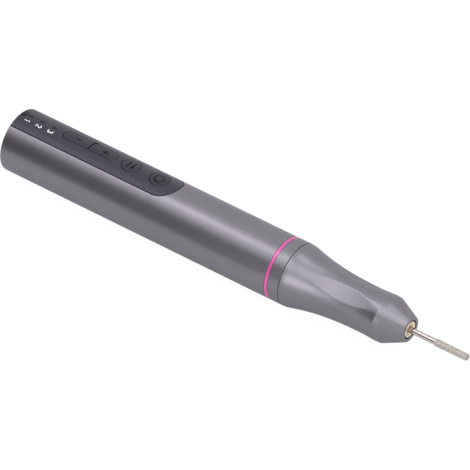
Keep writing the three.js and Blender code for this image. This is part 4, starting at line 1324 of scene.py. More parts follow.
def box_points(u0, u1, v0, v1, corner, inset, steps=5):
    """A rectangle with round corners, drawn in by an inset."""
    points = []
    reach = max(corner - inset, LEAST_CORNER)
    corners = ((u1, v0, -90), (u1, v1, 0), (u0, v1, 90), (u0, v0, 180))
    for u, v, first in corners:
        centre_u = u - math.copysign(corner, u - (u0 + u1) / 2)
        centre_v = v - math.copysign(corner, v - (v0 + v1) / 2)
        for step in range(steps + 1):
            t = math.radians(first + 90 * step / steps)
            points.append((centre_u + reach * math.cos(t), centre_v + reach * math.sin(t)))
    return points


def box_outline(x0, x1, half, corner):
    return lambda inset: plan(box_points(x0, x1, -half, half, corner, inset))


print("outlines ready: circle and box")

# %% [markdown]
# The two speed keys fill one slot with round ends, a pill, and each key is half of it. The mouth of the
# charging socket is a pill too.

# %% Pills
def half_turn(count):
    return stations(0, math.pi, count)


def pill_points(u0, u1, middle_v, half, inset, straight=30, round_steps=24):
    """A slot shape with round ends, drawn in by an inset."""
    reach = half - inset
    turns = half_turn(round_steps)
    points = [(u, middle_v - reach) for u in stations(u0 + half, u1 - half, straight)]
    points += [(u1 - half + reach * math.sin(t), middle_v - reach * math.cos(t)) for t in turns]
    points += [(u, middle_v + reach) for u in stations(u1 - half, u0 + half, straight)]
    points += [(u0 + half - reach * math.sin(t), middle_v + reach * math.cos(t)) for t in turns]
    return points


def pill_outline(x0, x1, half):
    return lambda inset: plan(pill_points(x0, x1, 0, half, inset))


def half_pill_outline(round_end, cut_end, half, straight=14, round_steps=24, across=8):
    """A slot shape with one round end and one end cut straight across. It never grows over the cut."""
    way = math.copysign(1, round_end - cut_end)
    centre = round_end - way * half

    def outline(inset):
        reach = half - inset
        cut = cut_end + way * max(inset, 0)
        turns = half_turn(round_steps)
        points = [(x, -way * reach) for x in stations(cut, centre, straight)]
        points += [(centre + way * reach * math.sin(t), -way * reach * math.cos(t)) for t in turns]
        points += [(x, way * reach) for x in stations(centre, cut, straight)]
        points += [(cut, y) for y in stations(way * reach, -way * reach, across)]
        return plan(points)

    return outline


print("outlines ready: pill and half a pill")

# %% [markdown]
# The panel and the slot that it fills have long sides, a round front end, and an open rear edge. The
# barrel's outline is the whole unrolled tube with that slot cut into its rear edge. There both are
# rounded more deeply than elsewhere.

# %% Outlines of the panel and the barrel
ARC_RADIUS = 12.5
PANEL_HALF_ARC = 7.75
PANEL_GAP = 0.15
PANEL_DRAWN_IN = 0.14
EDGE_ROUND = 0.12
REAR_ROUND = 0.5
REAR_SHARE = REAR_ROUND / EDGE_ROUND
AFTER_ROUND = 0.02
SIDE_PARTS = 44
FRONT_POINTS = 49
PANEL_REAR_PARTS = 24
PARTS_ALONG_BARREL = 76
PARTS_ROUND_BARREL = 120
BARREL_REAR_PARTS = 48
panel_end = span("control_panel")[1]
barrel_end = span("barrel")[1]


def slot_sides(grow):
    """The panel's long sides and round front end, from the rear right round to the rear again."""
    reach = PANEL_HALF_ARC + grow
    centre = panel_end - PANEL_HALF_ARC
    rear = [0, REAR_ROUND + AFTER_ROUND, *[centre * i / SIDE_PARTS for i in range(1, SIDE_PARTS)]]
    turns = np.linspace(-math.pi / 2, math.pi / 2, FRONT_POINTS)
    side = [(x, -reach) for x in rear]
    side += [(centre + reach * math.cos(t), reach * math.sin(t)) for t in turns]
    side += [(x, reach) for x in reversed(rear)]
    return [(x, ARC_RADIUS * math.sin(arc / ARC_RADIUS)) for x, arc in side]


def sides_with_deep_ends(sides, rear):
    """The slot's sides as an outline, with the rear edge's deeper rounding at both their ends."""
    points = plan([(max(x, rear), y) for x, y in sides])
    for end in (0, -1):
        points[end] = (*points[end][:2], REAR_SHARE)
    return points


def panel_outline(inset):
    rear = inset * REAR_SHARE
    sides = slot_sides(-inset - PANEL_DRAWN_IN)
    edge = sides[-1][1]
    across = [(rear, y) for y in stations(edge, -edge, PANEL_REAR_PARTS)][1:]
    return sides_with_deep_ends(sides, rear) + plan(across, REAR_SHARE)


def fixed(angle):
    """A rule that gives the same angle at any radius."""
    return lambda radius: angle


def barrel_outline(inset):
    """The unrolled barrel: all round, with the slot cut into its rear edge."""
    rear, front = inset * REAR_SHARE, barrel_end - inset
    sides = slot_sides(PANEL_GAP + inset)[::-1]
    edge = math.asin(sides[0][1] / shell_radius)
    points = [(x, fixed(-math.pi), 1.0) for x in stations(rear, front, PARTS_ALONG_BARREL)]
    points[0] = (rear, fixed(-math.pi), REAR_SHARE)
    points += [(front, fixed(t), 1.0) for t in stations(-math.pi, math.pi, PARTS_ROUND_BARREL)]
    points += [(x, fixed(math.pi), 1.0) for x in stations(front, rear, PARTS_ALONG_BARREL)]
    points += [(rear, fixed(t), REAR_SHARE) for t in stations(math.pi, edge, BARREL_REAR_PARTS)]
    points += sides_with_deep_ends(sides, rear)
    points += [(rear, fixed(t), REAR_SHARE) for t in stations(-edge, -math.pi, BARREL_REAR_PARTS)][1:]
    return points


print("the barrel's outline has", len(barrel_outline(0)), "points")

# %% [markdown]
# ## Barrel
# The barrel is a 1.2 mm tube wall. Its outline starts and ends underneath, on a seam that the skin
# closes by itself, because points in the same place are one point. The inner wall is filled on its own,
# since the slot's straight walls meet it at other angles than the outer wall.

# %% Build the barrel
BARREL_BORE = 11.3
HOLE_EDGE = 0.06
SAME_ANGLE = 1e-9
shell = ShellSurface(shell_radius)
bore = ShellSurface(BARREL_BORE)


def add_plate(skin, surface, outline, edge, under, pitch, holes=(), skip=(), blind=None):
    """Adds a plate with rounded edges and straight walls down to the surface under it, with holes. Where
    a blind surface is given, the holes end on that surface."""
    top_loops, low_loops = [], []
    for number, rule in enumerate([outline, *holes]):
        a_hole = number > 0
        drawn = (lambda inset, rule=rule: rule(-inset)[::-1]) if a_hole else rule
        rounding, left_open = (HOLE_EDGE, ()) if a_hole else (edge, skip)
        loop, wall_top, outs = rim(skin, surface, drawn, rounding, left_open)
        foot = blind if a_hole and blind else under
        flats = [foot.flat(p) for p in drawn(0)]
        skin.bridge(wall_top, [foot.lift(f)[0] for f in flats], outs, outs, left_open)
        top_loops.append(loop)
        low_loops.append(flats)
    skin.cover(surface, top_loops[:1], top_loops[1:], pitch)
    if blind:
        skin.cover(under, low_loops[:1], [], pitch, over=False)
        skin.cover(blind, [loop[::-1] for loop in low_loops[1:]], [], pitch)
    else:
        skin.cover(under, low_loops[:1], low_loops[1:], pitch, over=False)
    return skin


def seam_edges(points):
    """Edges of the barrel's outline that run along the seam, where there is no wall."""
    on_seam = [abs(abs(where(shell_radius)) - math.pi) < SAME_ANGLE for _, where, _ in points]
    return [i for i in range(len(points)) if on_seam[i] and on_seam[(i + 1) % len(points)]]


no_wall = seam_edges(barrel_outline(0))
barrel_skin = add_plate(
    Skin(), shell, barrel_outline, EDGE_ROUND, bore, pitch=(1.5, 0.65), skip=no_wall
)
keep_skin("barrel_shell", barrel_skin, "handle", "barrel", "anodised_metal")

# %% [markdown]
# ## Key panel
# The panel is a moulded plastic inlay of the same thickness as the barrel's wall. It sits a hair below the
# metal, with a fine gap round it, and has openings for two round keys, the speed pill and four windows.

# %% Build the panel
PLASTIC_BELOW_SHELL = 0.03
KEY_GAP = 0.2
WINDOW_GAP = 0.1
ROUND_KEY_RADIUS = 3.8
PILL_HALF = 2.5
PILL_SPAN = (20.01, 44.49)
WINDOW_HALF = (0.9, 0.5)
WINDOW_CORNER = 0.12
INDICATOR_SPAN = (0.8, 2.6)
INDICATOR_HALF = 1.5
INDICATOR_CORNER = 0.2
WINDOW_PLACES = (4.2, 9.85, 15.5)
face_surface = ShellSurface(shell_radius - PLASTIC_BELOW_SHELL)
power_x, direction_x = middle("power_key"), middle("direction_key")


def window_outline(x, grow=0.0):
    along, across = WINDOW_HALF
    return box_outline(x - along - grow, x + along + grow, across + grow, WINDOW_CORNER + grow)


panel_holes = [
    circle_outline(power_x, ROUND_KEY_RADIUS + KEY_GAP),
    circle_outline(direction_x, ROUND_KEY_RADIUS + KEY_GAP),
    pill_outline(PILL_SPAN[0] - KEY_GAP, PILL_SPAN[1] + KEY_GAP, PILL_HALF + KEY_GAP),
    box_outline(
        INDICATOR_SPAN[0] - WINDOW_GAP,
        INDICATOR_SPAN[1] + WINDOW_GAP,
        INDICATOR_HALF + WINDOW_GAP,
        INDICATOR_CORNER,
    ),
    *[window_outline(x, WINDOW_GAP) for x in WINDOW_PLACES],
]
panel_skin = add_plate(
    Skin(), face_surface, panel_outline, EDGE_ROUND, bore, pitch=(1.2, 0.6), holes=panel_holes
)
keep_skin("panel_inlay", panel_skin, "handle", "control_panel", "panel_plastic")

# %% [markdown]
# ## Keys
# Each key is a cap that stands in its opening, a flange under the panel that keeps it from falling out,
# and a stem that presses the switch below. The cap's top follows the barrel, so the panel stays smooth.

# %% Build the keys
FLANGE_TOP, FLANGE_BOTTOM, STEM_BOTTOM = 10.065, 9.265, 8.47
FLANGE_REACH = 0.7
STEM_RADIUS = 1.1
KEY_EDGE = 0.14
SPLIT_SPAN = (span("speed_down_key")[1], span("speed_up_key")[0])


def key_button(name, node, outline, stem_x):
    skin = Skin()
    loop, wall_top, outs = rim(skin, face_surface, outline, KEY_EDGE)
    skin.cover(face_surface, [loop], [], pitch=(0.9, 0.55))
    ledge, under, end = (LevelSurface(level) for level in (FLANGE_TOP, FLANGE_BOTTOM, STEM_BOTTOM))
    cap, flange = outline(0), outline(-FLANGE_REACH)
    rings = [[ledge.lift(ledge.flat(p))[0] for p in points] for points in (cap, flange)]
    rings.append([under.lift(under.flat(p))[0] for p in flange])
    angles = [math.atan2(y, x - stem_x) for x, y in (under.flat(p) for p in flange)]
    stem = [(stem_x + STEM_RADIUS * math.cos(t), STEM_RADIUS * math.sin(t)) for t in angles]
    rings += [[surface.lift(p)[0] for p in stem] for surface in (under, end)]
    skin.bridge(wall_top, rings[0], outs, outs)
    for first, second in zip(rings, rings[1:]):
        skin.bridge(first, second)
    skin.face(rings[-1][::-1])
    keep_skin(name, skin, node, node, "key_plastic")


for key, x in (("power", power_x), ("direction", direction_x)):
    key_button(key + "_button", key + "_key", circle_outline(x, ROUND_KEY_RADIUS), x)
for key, round_end, cut_end in zip(("speed_down", "speed_up"), PILL_SPAN, SPLIT_SPAN):
    half_pill = half_pill_outline(round_end, cut_end, PILL_HALF)
    key_button(key + "_button", key + "_key", half_pill, middle(key + "_switch"))

# %% [markdown]
# ## Windows
# The three level windows are the tops of one clear moulding that leads the light of the level bar up
# through the panel. The pane by the rear edge covers the charging light. Both are smoked plastic.

# %% Build the windows
WINDOW_BELOW_SHELL = 0.06
WINDOW_EDGE = 0.05
WINDOW_FOOT = 11.01
GUIDE_TOP, GUIDE_BOTTOM = 10.99, 10.09
GUIDE_CORNER = 0.1
PANE_CORNER = 0.15
window_surface, window_foot = ShellSurface(shell_radius - WINDOW_BELOW_SHELL), ShellSurface(WINDOW_FOOT)
guide_top, guide_low = LevelSurface(GUIDE_TOP), LevelSurface(GUIDE_BOTTOM)
guide_start, guide_end = span("level_light_guide")
guide_skin = Skin()
for x in WINDOW_PLACES:
    window = window_outline(x)
    add_plate(guide_skin, window_surface, window, WINDOW_EDGE, window_foot, pitch=(0.6, 0.3))
bar = box_outline(guide_start, guide_end, WINDOW_HALF[1], GUIDE_CORNER)
add_plate(guide_skin, guide_top, bar, WINDOW_EDGE, guide_low, pitch=(1.0, 0.3))
keep_skin("level_windows", guide_skin, "handle", "level_light_guide", "window")
pane = box_outline(*INDICATOR_SPAN, INDICATOR_HALF, PANE_CORNER)
pane_skin = add_plate(Skin(), window_surface, pane, WINDOW_EDGE, bore, pitch=(0.5, 0.4))
keep_skin("indicator_pane", pane_skin, "handle", "indicator_window", "window")

# %% [markdown]
# ## Printed signs
# The signs are thin films of ink, thinner than a hair, that stand on the keys. They are generic: a ring
# with a bar, a minus, a plus and a pair of arrows. A dark bar of the same ink on the panel, across the top
# of the split between the speed keys, is painted shade of that gap's corner. Each is a path given a width,
# or a plain outline. The white figures by the windows read from the front.

# %% Strokes and films
INK_RAISED = 0.012
INK_SUNK = 0.03
INK_EDGE = 0.002
ink_top = ShellSurface(face_surface.radius + INK_RAISED)
ink_low = ShellSurface(face_surface.radius - INK_SUNK)


def stroke(path, width):
    """The outline of a path drawn with a flat pen of a width. It turns left round the stroke."""
    points = [Vector(p) for p in path]
    left, right_side = [], []
    for i, point in enumerate(points):
        before = (point - points[i - 1]).normalized() if i else None
        after = (points[i + 1] - point).normalized() if i < len(points) - 1 else None
        way = ((before or after) + (after or before)).normalized()
        out = Vector((-way.y, way.x)) * width / 2
        left.append(point + out)
        right_side.append(point - out)
    return [tuple(p) for p in right_side + left[::-1]]


def arc_path(x, y, radius, start, end, count=20):
    angles = [math.radians(start + (end - start) * i / count) for i in range(count + 1)]
    return [(x + radius * math.cos(t), y + radius * math.sin(t)) for t in angles]


def many_points(outline, step=0.25):
    """The same outline with extra points, so that its long edges follow the curved surface too."""
    points = []
    for (x0, y0), (x1, y1) in zip(outline, [*outline[1:], outline[0]]):
        parts = max(1, math.ceil(math.hypot(x1 - x0, y1 - y0) / step))
        points += [(x0 + (x1 - x0) * i / parts, y0 + (y1 - y0) * i / parts) for i in range(parts)]
    return points


def film(name, outlines, body, finish="sign_ink"):
    skin = Skin()
    for outline in map(many_points, outlines):
        rule = lambda inset, outline=outline: plan(outline)
        add_plate(skin, ink_top, rule, INK_EDGE, ink_low, pitch=(0.5, 0.5))
    keep_piece(name, skin.mesh(name, finish), body)


def arrow(x, y, length, way, head=1.5, shaft=0.55):
    """A plain arrow that points across the pen."""
    tip, tail = y + way * length / 2, y - way * length / 2
    neck = tip - way * head
    side, wing = way * shaft / 2, way * head / 2
    points = [(x + side, tail), (x + side, neck), (x + wing, neck), (x, tip)]
    return points + [(x - wing, neck), (x - side, neck), (x - side, tail)]


print("an ink film is", INK_RAISED + INK_SUNK, "mm thick")

# %% [markdown]
# Each key now gets its sign, which rides on the key and moves with it. The dark bar of painted shade at the
# top of the speed keys' split is on the panel.

# %% Draw the signs
SIGN_WIDTH = 0.56
POWER_RING_RADIUS = 2.05
POWER_RING_GAP = 34
POWER_RING_STEPS = 44
POWER_BAR = (0.9, 2.6)
ARROW_LENGTH = 4.4
ARROW_ASIDE = 1.0
KEY_SIGN_WIDTH = 0.68
MINUS_X, PLUS_X = 26.5, 39.0
ARM = 1.4
MINUS_HALF = 1.1
# The last four place the dark bar of painted shade at the top of the speed keys' split: its middle along
# the pen, half length, arc and width.
SPLIT_SHADE_X, SPLIT_SHADE_HALF, SPLIT_SHADE_ARC, SPLIT_SHADE_WIDTH = 32.9, 1.0, 3.16, 0.8
ring_ends = (POWER_RING_GAP, 360 - POWER_RING_GAP)
power_ring = arc_path(power_x, 0, POWER_RING_RADIUS, *ring_ends, POWER_RING_STEPS)
power_bar = [(power_x + x, 0) for x in POWER_BAR]
film("power_sign", [stroke(path, SIGN_WIDTH) for path in (power_ring, power_bar)], "power_key")
arrows = [arrow(direction_x - way * ARROW_ASIDE, 0, ARROW_LENGTH, way) for way in (1, -1)]
film("direction_sign", arrows, "direction_key")
minus = stroke([(MINUS_X - MINUS_HALF, 0), (MINUS_X + MINUS_HALF, 0)], KEY_SIGN_WIDTH)
film("minus_sign", [minus], "speed_down_key")
# A dark bar in sign ink on the panel, across the top of the speed keys' split: painted shade of the gap's
# corner.
split_shade_stroke = stroke([(SPLIT_SHADE_X - SPLIT_SHADE_HALF, SPLIT_SHADE_ARC), (SPLIT_SHADE_X + SPLIT_SHADE_HALF, SPLIT_SHADE_ARC)], SPLIT_SHADE_WIDTH)
film("split_painted_shade", [split_shade_stroke], "handle")
half_width = KEY_SIGN_WIDTH / 2
quarter = [(ARM, half_width), (half_width, half_width), (half_width, ARM)]
plus = []
for turn in range(4):
    c, q = round(math.cos(turn * math.pi / 2)), round(math.sin(turn * math.pi / 2))
    plus += [(PLUS_X + u * c - v * q, u * q + v * c) for u, v in quarter]
film("plus_sign", [plus], "speed_up_key")

# %% [markdown]
# The figures are strokes too. A figure's path is drawn in a square frame, which is then stretched to its
# height and width and turned so that the top of the figure looks along the pen.

# %% Print the figures by the windows
FIGURE_PLACES = (4.7, 10.0, 15.4)
FIGURE_HEIGHT = 2.2
FIGURE_WIDTH = 1.2
FIGURE_ARC = -2.8
FIGURE_STROKE = 0.3


def bow(centre, reach, start, end, count):
    """Points on a bow: its centre, how far it reaches across and up, and its first and last angle."""
    turns = np.linspace(start, end, count)
    return [(centre[0] + reach[0] * math.cos(t), centre[1] + reach[1] * math.sin(t)) for t in turns]


def figure_path(digit):
    """A figure's path in its own frame: across from 0 to 1, up from 0 to 1."""
    if digit == 1:
        return [(0.2, 0.78), (0.58, 1.0), (0.58, 0.0)]
    if digit == 2:
        return bow((0.5, 0.74), (0.45, 0.26), 2.9, -0.6, 12) + [(0.08, 0.02), (0.95, 0.02)]
    upper = bow((0.45, 0.76), (0.42, 0.24), 2.7, -1.3, 12)
    return upper + bow((0.45, 0.27), (0.48, 0.27), 1.2, -2.7, 13)


def printed_figure(digit, x):
    """The top of a figure looks along the pen, and its left side looks to +Y."""
    places = []
    for across, up_share in figure_path(digit):
        along = x + (up_share - 0.5) * FIGURE_HEIGHT
        places.append((along, FIGURE_ARC - (across - 0.5) * FIGURE_WIDTH))
    return stroke(places, FIGURE_STROKE)


figures = [printed_figure(digit, x) for digit, x in zip((1, 2, 3), FIGURE_PLACES)]
film("level_figures", figures, "handle", "print_white")

# %% [markdown]
# ## Rear end
# The rear of the pen can't be seen in the photograph. A flat plastic disc closes the tube. It has an
# opening for the charging socket: a folded steel shell, blind at its far end, with a thin tongue in it.

# %% Build the rear end
CAP_RADIUS = 11.0
CAP_EDGE = 0.25
SOCKET_FIT = 0.15
SOCKET_WALL = 0.3
SOCKET_EDGE = 0.08
TONGUE_CORNER = 0.12
TONGUE_EDGE = 0.1
socket_low, socket_high = (height(corner.z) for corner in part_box("usb_shell"))
socket_start, socket_end = span("usb_shell")
socket_half = (socket_high - socket_low) / 2
socket_middle = (socket_high + socket_low) / 2
socket_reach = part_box("usb_shell")[1].y / MM


def socket_outline(grow):
    reach, half = socket_reach + grow, socket_half + grow
    return lambda inset: pill_points(
        -reach, reach, socket_middle, half, inset, straight=12, round_steps=16
    )


def disc_outline(inset):
    reach = CAP_RADIUS - inset
    return [(reach * math.cos(t), reach * math.sin(t)) for t in stations(0, FULL_TURN, count=144)]


cap_start, cap_end = span("rear_cap")
end_skin = add_plate(
    Skin(),
    EndSurface(cap_start),
    disc_outline,
    CAP_EDGE,
    EndSurface(cap_end),
    pitch=(1.2, 1.2),
    holes=[socket_outline(SOCKET_FIT)],
)
keep_skin("rear_end_cap", end_skin, "handle", "rear_cap", "dark_plastic")

socket_skin = add_plate(
    Skin(),
    EndSurface(socket_start),
    socket_outline(0),
    SOCKET_EDGE,
    EndSurface(socket_end),
    pitch=(0.8, 0.8),
    holes=[socket_outline(-SOCKET_WALL)],
    blind=EndSurface(socket_end - SOCKET_WALL),
)
keep_skin("charging_shell", socket_skin, "handle", "usb_shell", "nickel")

tongue_low, tongue_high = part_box("usb_tongue")
tongue_start, tongue_end = span("usb_tongue")
tongue_half_width = tongue_high.y / MM
tongue_bottom, tongue_top = height(tongue_low.z), height(tongue_high.z)
tongue_box = (-tongue_half_width, tongue_half_width, tongue_bottom, tongue_top)
tongue_skin = add_plate(
    Skin(),
    EndSurface(tongue_start),
    lambda inset: box_points(*tongue_box, TONGUE_CORNER, inset),
    TONGUE_EDGE,
    EndSurface(tongue_end),
    pitch=(0.7, 0.5),
)
keep_skin("socket_tongue", tongue_skin, "handle", "usb_tongue", "dark_plastic")

# %% [markdown]
# The tongue carries a row of contacts on either side. They are one small strip, put by Geometry Nodes on
# every point of two lines.

# %% Lay the contacts
CONTACTS_IN_ROW = 12
CONTACT_PITCH = 0.5
CONTACT_SIZE = (4.6, 0.24, 0.05)


def contact_tree():
    """Rows of contacts over and under the tongue, as strips on two lines of points."""
    lengths = ["Pitch", "Start", "Low", "High", "Length", "Width", "Thickness"]
    tree, sockets, source = new_tree(
        "contact_rows", Geometry=["Base"], Int=["Count"], Float=lengths, Material=["Finish"]
    )
    settings = {0: source["Length"], 1: source["Width"], 2: source["Thickness"]}
    strip_size = add_node(tree, "ShaderNodeCombineXYZ", settings)
    strip = add_node(tree, "GeometryNodeMeshCube", {"Size": strip_size.outputs[0]})
    steps = math_node(tree, "SUBTRACT", source["Count"], 1.0)
    first = math_node(tree, "MULTIPLY", math_node(tree, "MULTIPLY", steps, source["Pitch"]), -0.5)
    both = add_node(tree, "GeometryNodeJoinGeometry")
    for level in ("Low", "High"):
        start = add_node(tree, "ShaderNodeCombineXYZ", {0: source["Start"], 1: first, 2: source[level]})
        offset = add_node(tree, "ShaderNodeCombineXYZ", {1: source["Pitch"]})
        line = add_node(
            tree,
            "GeometryNodeMeshLine",
            {"Count": source["Count"], "Start Location": start.outputs[0], "Offset": offset.outputs[0]},
        )
        tree.links.new(line.outputs[0], both.inputs[0])
    settings = {"Points": both.outputs[0], "Instance": strip.outputs["Mesh"]}
    put = add_node(tree, "GeometryNodeInstanceOnPoints", settings)
    end_tree(tree, put.outputs[0], source["Finish"])
    return tree, sockets


contacts = through_nodes(
    "socket_contacts",
    bpy.data.meshes.new("contact_base"),
    *contact_tree(),
    {
        "Count": CONTACTS_IN_ROW,
        "Pitch": CONTACT_PITCH * MM,
        "Start": along_pen(middle("usb_tongue")),
        "Low": tongue_low.z,
        "High": tongue_high.z,
        "Length": CONTACT_SIZE[0] * MM,
        "Width": CONTACT_SIZE[1] * MM,
        "Thickness": CONTACT_SIZE[2] * MM,
        "Finish": finishes["brass"],
    },
)
keep_piece("socket_contacts", contacts, "handle")

# %% [markdown]
# ## Collet, shank and burr
# The brass collet is turned, then slit from the front by three saw cuts so that it can close on the shank.
# The slits are cut with a boolean, because they are the one place where two shapes really pass through
# each other.

# %% Turn the collet
COLLET_BORE = 1.325
COUNTERSINK = (2.1, 1.1)
COLLET_BODY = 2.175
COLLET_HEAD = 3.2315
HEAD_LENGTH = 1.8
TAPER_LENGTH = 2.4
COLLET_BREAK = 0.1
TAPER_ROUND = 0.2
FACE_ROUND = 0.18
SINK_BREAK = 0.06
SINK_ROUND = 0.05
COLLET_BORE_BREAK = 0.08
collet_start, collet_end = span("collet")
head_start = collet_end - HEAD_LENGTH
collet_points = rounded(
    [
        (collet_start, (COLLET_BORE + COLLET_BODY) / 2, 0),
        (collet_start, COLLET_BODY, COLLET_BREAK),
        (head_start - TAPER_LENGTH, COLLET_BODY, TAPER_ROUND),
        (head_start, COLLET_HEAD, COLLET_BREAK),
        (collet_end, COLLET_HEAD, FACE_ROUND),
        (collet_end, COUNTERSINK[0], SINK_BREAK),
        (collet_end - COUNTERSINK[1], COLLET_BORE, SINK_ROUND),
        (collet_start, COLLET_BORE, COLLET_BORE_BREAK),
        (collet_start, (COLLET_BORE + COLLET_BODY) / 2, 0),
    ]
)
collet_mesh = turned("collet_jaws", collet_points, "brass", steps_round=96)
print("the collet is turned:", len(collet_mesh.polygons), "faces")

# %% [markdown]
# Each saw cut is a thin blade that stands out from near the axis. The blades are a third of a turn apart.

# %% Slit the collet
SLOTS = 3
SLOT_WIDTH = 0.4
SLOT_LENGTH = 14
BLADE_START = 0.3
BLADE_HEIGHT = 4.0
BLADE_OVER = 1
SHARP_ANGLE = math.radians(32)


def saw_cuts():
    """The blades that cut the slits, as one mesh per blade."""
    blades = []
    for number in range(SLOTS):
        turn = Matrix.Rotation(-FULL_TURN * number / SLOTS, 3, "X")
        corners = []
        for x in (collet_end - SLOT_LENGTH, collet_end + BLADE_OVER):
            for y, z in ((-1, 0), (1, 0), (1, 1), (-1, 1)):
                spot = turn @ Vector((0, y * SLOT_WIDTH / 2, z * BLADE_HEIGHT + BLADE_START))
                corners.append(from_axis(x, spot.y, spot.z))
        faces = [(0, 1, 2, 3), (7, 6, 5, 4), (0, 4, 5, 1), (1, 5, 6, 2), (2, 6, 7, 3), (3, 7, 4, 0)]
        mesh = bpy.data.meshes.new("saw_blade")
        mesh.from_pydata(corners, [], faces)
        blades.append(face_outwards(mesh))
    return blades


def cut_away(name, mesh, cutters):
    worker = in_scene(name + "_worker", mesh)
    helpers = []
    for cutter in cutters:
        helper = in_scene(name + "_cutter", cutter)
        modifier = worker.modifiers.new("Cut", "BOOLEAN")
        modifier.operation, modifier.solver, modifier.object = "DIFFERENCE", "EXACT", helper
        helpers.append(helper)
    made = bpy.data.meshes.new_from_object(worker.evaluated_get(bpy.context.evaluated_depsgraph_get()))
    worker.modifiers.clear()
    for used in (worker, *helpers):
        bpy.data.objects.remove(used)
    made.name = name
    return made


collet_mesh = cut_away("collet_jaws", collet_mesh, saw_cuts())
collet_mesh.set_sharp_from_angle(angle=SHARP_ANGLE)
keep_piece("collet_jaws", collet_mesh, "collet_set", ["collet"])

# %% [markdown]
# The shank is ground steel. Its thin front end, the tang, goes into the burr.

# %% Turn the shank
SHANK_RADIUS = 1.163
TANG_RADIUS = 0.7
SHANK_REAR_ROUND = 0.18
SHANK_FRONT_ROUND = 0.12
TANG_FOOT_ROUND = 0.05
TANG_END_ROUND = 0.1
BURR_GAP = 0.1
shank_start, tang_end = span("bit_shank")
burr_start, burr_end = span("grinding_burr")
shank_end = burr_start - BURR_GAP
shank_points = rounded(
    [
        (shank_start, 0, 0),
        (shank_start, SHANK_RADIUS, SHANK_REAR_ROUND),
        (shank_end, SHANK_RADIUS, SHANK_FRONT_ROUND),
        (shank_end, TANG_RADIUS, TANG_FOOT_ROUND),
        (tang_end, TANG_RADIUS, TANG_END_ROUND),
        (tang_end, 0, 0),
    ]
)
shank = turned("polished_shank", shank_points, "polished_steel", steps_round=96)
keep_piece("polished_shank", shank, "bit", ["bit_shank"])

# %% [markdown]
# The burr is a short steel rod, nearly straight, coated with crushed grit that is held in nickel. The rod
# is turned first, thinner than the burr by what the grains stand out.

# %% Turn the burr's core
GRAIN_REACH = 0.085
TIP_REACH = 0.1
BURR_RADII = (1.46, 1.34)
BURR_BORE = 0.74
BURR_BORE_ROUND = 0.05
BURR_REAR_ROUND = 0.1
BURR_TIP_ROUND = 0.2
core_start = tang_end + BURR_GAP
core_points = rounded(
    [
        (core_start, 0, 0),
        (core_start, BURR_BORE, BURR_BORE_ROUND),
        (burr_start, BURR_BORE, BURR_BORE_ROUND),
        (burr_start, BURR_RADII[0] - GRAIN_REACH, BURR_REAR_ROUND),
        (burr_end - TIP_REACH, BURR_RADII[1] - GRAIN_REACH, BURR_TIP_ROUND),
        (burr_end - TIP_REACH, 0, 0),
    ]
)
core = turned("burr_core", core_points, "grit_bond", steps_round=64)
print("the burr's core is turned:", len(core.polygons), "faces")

# %% [markdown]
# Each grain is a small lump of twenty faces. Geometry Nodes scatters the grains over the rod with a fixed
# seed, turns each its own way and lets them sink in by half.

# %% Coat the burr with grit
GRAINS_PER_MM2 = 40
GRAIN_RADII = (0.055, 0.1)
GRAIN_FACES = 20
GRAIN_SEED = 7


def grit_tree():
    measures = ["Density", "Smallest", "Largest", "Coat Start"]
    tree, sockets, source = new_tree(
        "grit_coat", Geometry=["Rod"], Float=measures, Int=["Seed"], Material=["Finish"]
    )
    position = add_node(tree, "GeometryNodeInputPosition").outputs[0]
    along = add_node(tree, "ShaderNodeSeparateXYZ", {0: position}).outputs["X"]
    on_coat = math_node(tree, "GREATER_THAN", along, source["Coat Start"])
    spots = add_node(
        tree,
        "GeometryNodeDistributePointsOnFaces",
        {"Mesh": source["Rod"], "Selection": on_coat, "Density": source["Density"], "Seed": source["Seed"]},
    )
    grain = add_node(tree, "GeometryNodeMeshIcoSphere", {"Radius": 1.0, "Subdivisions": 1})
    turn = add_node(tree, "FunctionNodeRandomValue", {"Seed": source["Seed"]}, data_type="FLOAT_VECTOR")
    feed(tree, turn.inputs["Max"], (FULL_TURN, FULL_TURN, FULL_TURN))
    radii = add_node(tree, "FunctionNodeRandomValue", {"Seed": source["Seed"]}, data_type="FLOAT")
    float_sockets = [s for s in radii.inputs if s.type == "VALUE"]
    feed(tree, float_sockets[0], source["Smallest"])
    feed(tree, float_sockets[1], source["Largest"])
    size = next(s for s in radii.outputs if s.type == "VALUE")
    put = add_node(
        tree,
        "GeometryNodeInstanceOnPoints",
        {
            "Points": spots.outputs["Points"],
            "Instance": grain.outputs["Mesh"],
            "Rotation": next(s for s in turn.outputs if s.type == "VECTOR"),
            "Scale": size,
        },
    )
    end_tree(tree, put.outputs[0], source["Finish"])
    return tree, sockets


grit = through_nodes(
    "grit_coat",
    core,
    *grit_tree(),
    {
        "Density": GRAINS_PER_MM2 / MM**2,
        "Smallest": GRAIN_RADII[0] * MM,
        "Largest": GRAIN_RADII[1] * MM,
        "Coat Start": along_pen(burr_start + GRAIN_RADII[1]),
        "Seed": GRAIN_SEED,
        "Finish": finishes["grit"],
    },
)
print("grains:", len(grit.polygons) // GRAIN_FACES)
keep_piece("burr_core", core, "bit", ["grinding_burr"])
keep_piece("grit_coat", grit, "bit", ["grinding_burr"])

# %% [markdown]
# ## Collet spring and bearing balls
# The spring that keeps the collet shut is a wire wound into a coil, and each bearing has a ring of balls
# in a thin cage. Both follow a rule, so Geometry Nodes make them: a round section is swept along a spiral,
# and one ball is put on every point of a circle. When the nose turns, the drawbar comes forward and the
# spring gets shorter by the same amount; the coil here is wound at one length only.

# %% Wind the collet spring
WIRE_RADIUS = 0.28
COIL_RADIUS = 1.75
COIL_TURNS = 6
COIL_STEPS = 32
WIRE_SIDES = 12


